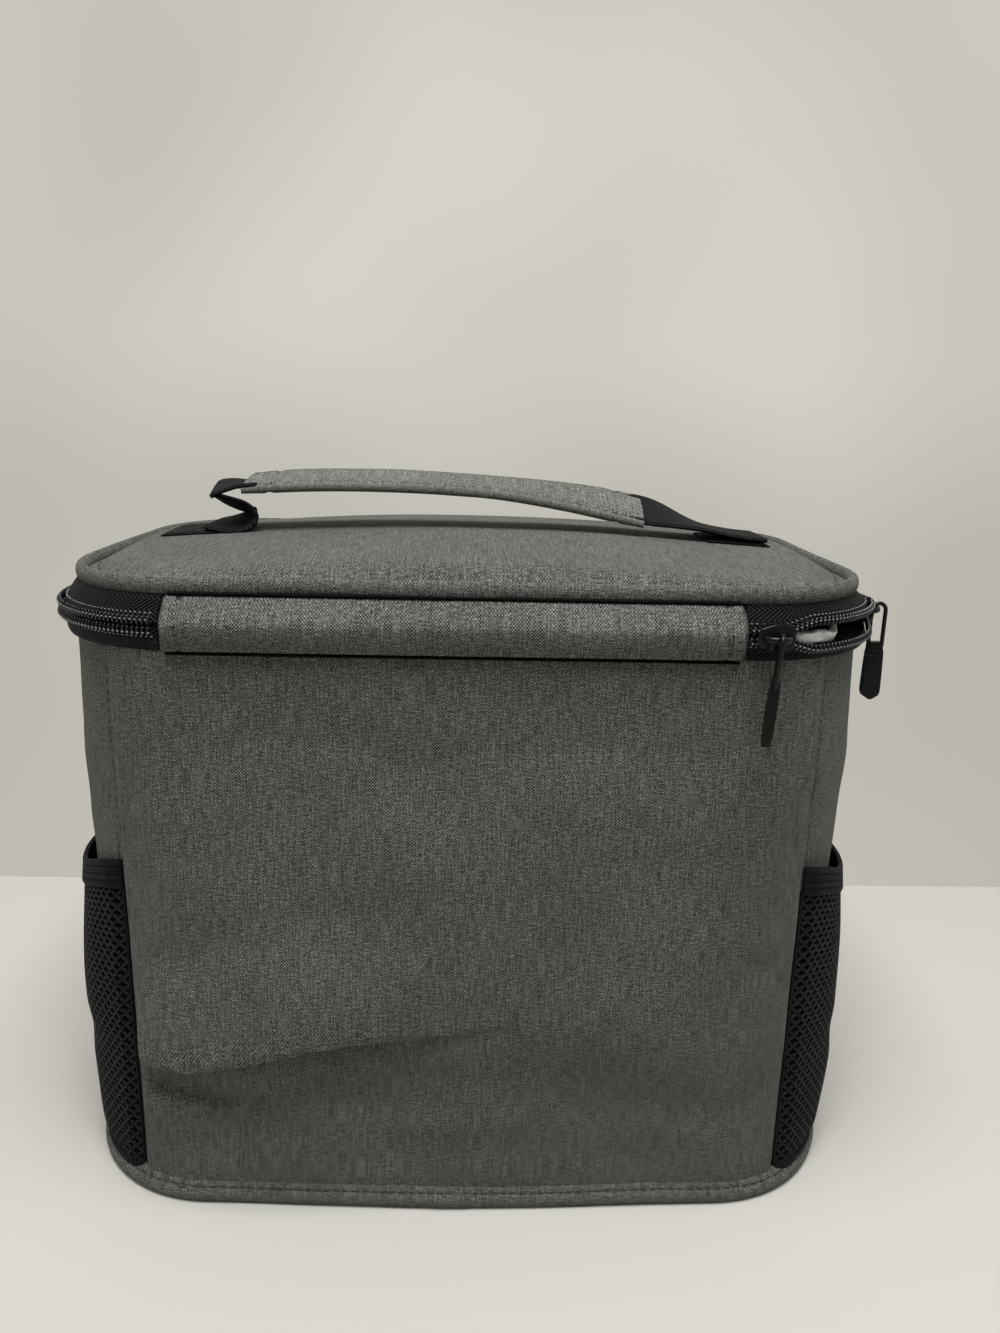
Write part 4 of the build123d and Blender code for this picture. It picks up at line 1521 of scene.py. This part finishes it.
class LUNCHBAG_OT_handle(bpy.types.Operator):
    """Makes the strap's sleeve, the webbing at its ends and the sewn patches on the lid"""

    bl_idname = "lunchbag.handle"
    bl_label = "Handle"

    def execute(self, context):
        self.sleeve()
        left = [(-92, 213.5), (-86, 213.7), (-80, 214.8), (-76.8, 217.0), (-79, 219.2), (-85, 221.0)]
        left += [(-90.2, 223.0), (-91.0, 225.2), (-87, 226.7), (-81, 227.5), (-74, 228.2)]
        right = [(54, 222.3), (60, 221.5), (68, 219.8), (77, 217.2), (86, 214.8), (95, 213.3), (103, 212.6)]
        self.webbing("webbing_left", left, -1, "handle_leg_left")
        self.webbing("webbing_right", right, 1, "handle_leg_right")
        self.patch("patch_left", (-107, -82), "handle_anchor_left")
        self.patch("patch_right", (82, 104), "handle_anchor_right")
        return {"FINISHED"}

    def sleeve(self):
        """The folded cloth sleeve, thick in the middle and pressed flat along its sewn edges."""
        length = STRAP_RIGHT - STRAP_LEFT
        around, girth = 40, 58 * MM
        half_wide, half_thick = 13.4 * MM, 2.3 * MM
        obj = grid("strap_sleeve", (STRAP_LEFT, STRAP_RIGHT), (0, around), 90, around)

        def section(x, turn):
            across = half_wide * abs(cos(turn)) ** 0.75 * (1 if cos(turn) > 0 else -1)
            edge = half_wide - abs(across)
            pressed = 1 - 0.55 * ease(1 - abs(edge - 3.2 * MM) / (1.6 * MM))
            end = min(x - STRAP_LEFT, STRAP_RIGHT - x)
            mouth = 1 - 0.25 * ease(1 - end / (9 * MM))
            stitch = 1 - 0.35 * ease(1 - abs(end - 9.5 * MM) / (1.5 * MM))
            soft = 0.25 * MM * noise.noise(Vector((x * 60, across * 80, 3)))
            face = 1 if sin(turn) > 0 else -1
            rise = half_thick * abs(sin(turn)) ** 0.55 * pressed * mouth * stitch * face
            return across, rise + soft * abs(sin(turn))

        unwrap(obj, lambda co: (co.x, co.y / around * girth))
        for vertex in obj.data.vertices:
            x, turn = vertex.co.x, 2 * pi * vertex.co.y / around
            across, rise = section(x, turn)
            vertex.co = on_strap(x, across, rise)
        cap(obj)
        smooth(obj)
        # the strap's cloth is the same heather, painted lighter
        finish_piece(obj, "heather_strap_painted_light", "handle")
        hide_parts("handle_sleeve", "handle_core")
        lines = []
        for across in (-10.2 * MM, 10.2 * MM):

            def along(t, across=across):
                x = STRAP_LEFT + t
                return on_strap(x, across, 1.25 * MM), strap(x)[1]

            lines += spots_along(along, length)
        for x in (STRAP_LEFT + 9.5 * MM, STRAP_RIGHT - 9.5 * MM):

            def over(t, x=x):
                return on_strap(x, -10.2 * MM + t, 1.45 * MM), strap(x)[1]

            lines += spots_along(over, 20.4 * MM, 2.4 * MM)
        sewn_line("strap_stitches", lines, "handle", wide=0.5 * MM)

    def webbing(self, name, points, side, node):
        """A length of webbing along its folds, with rounded edges."""
        half_wide, half_thick = WEBBING_HALF, 0.75 * MM
        steps = 72
        line, length = route(points, steps)
        edge = half_wide - 0.6 * MM
        profile = [(-half_wide, 0), (-edge, half_thick), (0, half_thick * 1.05), (edge, half_thick)]
        profile += [(-x, -y) for x, y in profile]
        rows = [Vector(profile[0])]
        for a, b in zip(profile, profile[1:] + profile[:1]):
            pieces = 10 if abs(a[0] - b[0]) > 5 * MM else 1
            rows += [Vector(a).lerp(Vector(b), (i + 1) / pieces) for i in range(pieces)]
        obj = grid(name, (0, length), (0, len(rows) - 1), steps, len(rows) - 1)
        unwrap(obj, lambda co: (co.x, rows[round(co.y)].x))
        for vertex in obj.data.vertices:
            i = min(round(vertex.co.x / length * steps), steps)
            row = rows[round(vertex.co.y)]
            ahead, behind = line[min(i + 1, steps)], line[max(i - 1, 0)]
            along = (ahead - behind).normalized()
            up = Vector((-along.z, 0, along.x))
            if side > 0:
                lean = strap_tilt(line[i].x) * (1 - ease((line[i].x - 0.060) / 0.025))
            else:
                lean = radians(15) * sin(pi * min(i / steps * 1.15, 1.0))
            across = Vector((0, cos(lean), 0)) + up * sin(lean)
            vertex.co = line[i] + across * row.x + up * row.y
        cap(obj)
        smooth(obj, 50)
        finish_piece(obj, "black_webbing", "lid")
        obj.parent = None
        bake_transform(obj)
        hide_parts(node)

    def patch(self, name, x_range, node):
        """The sewn-down end: a square of webbing with a boxed cross of stitches."""
        half = WEBBING_HALF
        x0, x1 = x_range[0] * MM, x_range[1] * MM
        obj = grid(name, (x0, x1), (-half, half), 24, 24)

        def height(x, y):
            edge = min(x - x0, x1 - x, half - abs(y))
            return lid_height(x, y) + 0.55 * MM + 0.5 * MM * ease(edge / (1.2 * MM))

        lay(obj, lambda x, y: Vector((x, y, height(x, y))))
        apply(obj, "SOLIDIFY", thickness=1.1 * MM, offset=-1.0)
        smooth(obj)
        finish_piece(obj, "black_webbing", "lid")
        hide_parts(node)
        spots = []
        a, b, c, d = x0 + 3 * MM, x1 - 3 * MM, -half + 2.5 * MM, half - 2.5 * MM
        box = ((a, c), (b, c)), ((b, c), (b, d)), ((b, d), (a, d)), ((a, d), (a, c))
        cross = ((a, c), (b, d)), ((a, d), (b, c))
        for start, end in box + cross:
            first, last = Vector(start), Vector(end)
            length = (last - first).length

            def run(t, first=first, last=last, length=length):
                p = first.lerp(last, t / length)
                return Vector((p.x, p.y, height(p.x, p.y) + 0.1 * MM)), Vector((0, 0, 1))

            spots += spots_along(run, length, 2.6 * MM)
        sewn_line(f"{name}_stitches", spots, "lid", "thread_black", 0.5 * MM)


class LUNCHBAG_OT_plain(bpy.types.Operator):
    """Gives the flat base and its foam their finishes"""

    bl_idname = "lunchbag.plain"
    bl_label = "Base finishes"

    def execute(self, context):
        for node, material in (("base_panel", "heather_base"), ("base_foam", "foam_cells")):
            mesh = frame["nodes"][node].data
            mesh.materials.clear()
            mesh.materials.append(finish(material))
        return {"FINISHED"}


class LUNCHBAG_OT_stage(bpy.types.Operator):
    """Sets the pale floor, the soft light and the camera"""

    bl_idname = "lunchbag.stage"
    bl_label = "Stage"

    def execute(self, context):
        deselect()
        bpy.ops.mesh.primitive_grid_add(x_subdivisions=8, y_subdivisions=8, size=1)
        floor = bpy.context.object
        floor.name = "floor"
        floor.data.transform(Matrix.Translation((0, -0.68, 0)) @ Matrix.Diagonal((3.2, 1.66, 1, 1)))
        floor.data.materials.append(finish("floor_matt"))
        self.light("ceiling", (0.0, -0.33, 1.10), (0, 0.0, 0.1), 0.55, 14.0)
        self.light("left", (-1.1, -0.4, 0.9), (0, 0, 0.1), 0.7, 0.9)
        self.light("right", (1.1, 0.1, 0.8), (0, 0, 0.1), 0.7, 1.1)
        self.world(context)
        context.scene.view_settings.view_transform = "Standard"
        self.camera(context)
        return {"FINISHED"}

    def world(self, context):
        """Soft light from all round: darkest in front, patchy, and weaker below and high up."""
        n = Nodes(bpy.data.worlds.new("pale"), "Background")
        wall = colours().wall
        way = n.add("ShaderNodeTexCoord").outputs["Generated"]
        parts = n.add("ShaderNodeSeparateXYZ", {"Vector": way})
        behind = n.spread(parts.outputs["Y"], -0.35, 0.55, kind="SMOOTHSTEP")
        base = n.mix(behind, toned(wall, 0.14), toned(wall))
        n.set(Color=n.mix(n.noise(way, 2.6, 1.0), base, toned(wall, 0.62)))
        low = n.spread(parts.outputs["Z"], -0.14, 0.08, 0.84, 1.03, "SMOOTHSTEP")
        high = n.spread(parts.outputs["Z"], 0.12, 0.62, 1.0, 0.85, "SMOOTHSTEP")
        n.set(Strength=n.math("MULTIPLY", low, high))
        context.scene.world = n.owner

    def light(self, name, place, towards, size, power):
        bpy.ops.object.light_add(type="AREA", location=place)
        lamp = bpy.context.object
        lamp.name = name
        lamp.data.size = size
        lamp.data.energy = power
        lamp.rotation_euler = (Vector(towards) - Vector(place)).to_track_quat("-Z", "Y").to_euler()

    def camera(self, context):
        """A hand-held view, slightly above the bag and slightly tilted."""
        bpy.ops.object.camera_add(location=(1.9 * MM, -358.7 * MM, 255.7 * MM))
        camera = context.object
        camera.name = "camera"
        camera.data.lens = 27.0
        camera.data.sensor_width = 36
        yaw, pitch, roll = radians(-1.46), radians(90 - 14.53), radians(1.3)
        turn = Matrix.Rotation(yaw, 4, "Z") @ Matrix.Rotation(pitch, 4, "X") @ Matrix.Rotation(roll, 4, "Z")
        camera.rotation_euler = turn.to_euler()
        camera.data.clip_start = 0.01
        context.scene.camera = camera


operators = (
    LUNCHBAG_OT_walls,
    LUNCHBAG_OT_base,
    LUNCHBAG_OT_lining,
    LUNCHBAG_OT_pockets,
    LUNCHBAG_OT_zip,
    LUNCHBAG_OT_strip,
    LUNCHBAG_OT_lid,
    LUNCHBAG_OT_sliders,
    LUNCHBAG_OT_handle,
    LUNCHBAG_OT_plain,
    LUNCHBAG_OT_stage,
)


class LUNCHBAG_PT_panel(bpy.types.Panel):
    """Lists the bag's sizes, colours and pieces in the sidebar"""

    bl_idname = "LUNCHBAG_PT_panel"
    bl_label = "Lunch bag"
    bl_space_type = "VIEW_3D"
    bl_region_type = "UI"
    bl_category = "Lunch bag"

    def draw(self, context):
        for group in (context.scene.bag_sizes, context.scene.bag_colours):
            for name in group.__annotations__:
                self.layout.prop(group, name)
        for operator in operators:
            self.layout.operator(operator.bl_idname)


classes = (BagSizes, BagColours, *operators, LUNCHBAG_PT_panel)


def register():
    for cls in classes:
        bpy.utils.register_class(cls)
    bpy.types.Scene.bag_sizes = bpy.props.PointerProperty(type=BagSizes)
    bpy.types.Scene.bag_colours = bpy.props.PointerProperty(type=BagColours)


def unregister():
    del bpy.types.Scene.bag_sizes
    del bpy.types.Scene.bag_colours
    for cls in reversed(classes):
        bpy.utils.unregister_class(cls)


def main():
    register()
    bpy.ops.lunchbag.walls()
    bpy.ops.lunchbag.base()
    bpy.ops.lunchbag.lining()
    bpy.ops.lunchbag.pockets()
    bpy.ops.lunchbag.zip()
    bpy.ops.lunchbag.strip()
    bpy.ops.lunchbag.lid()
    bpy.ops.lunchbag.sliders()
    bpy.ops.lunchbag.handle()
    bpy.ops.lunchbag.plain()
    bpy.ops.lunchbag.stage()


if __name__ == "__main__":
    main()
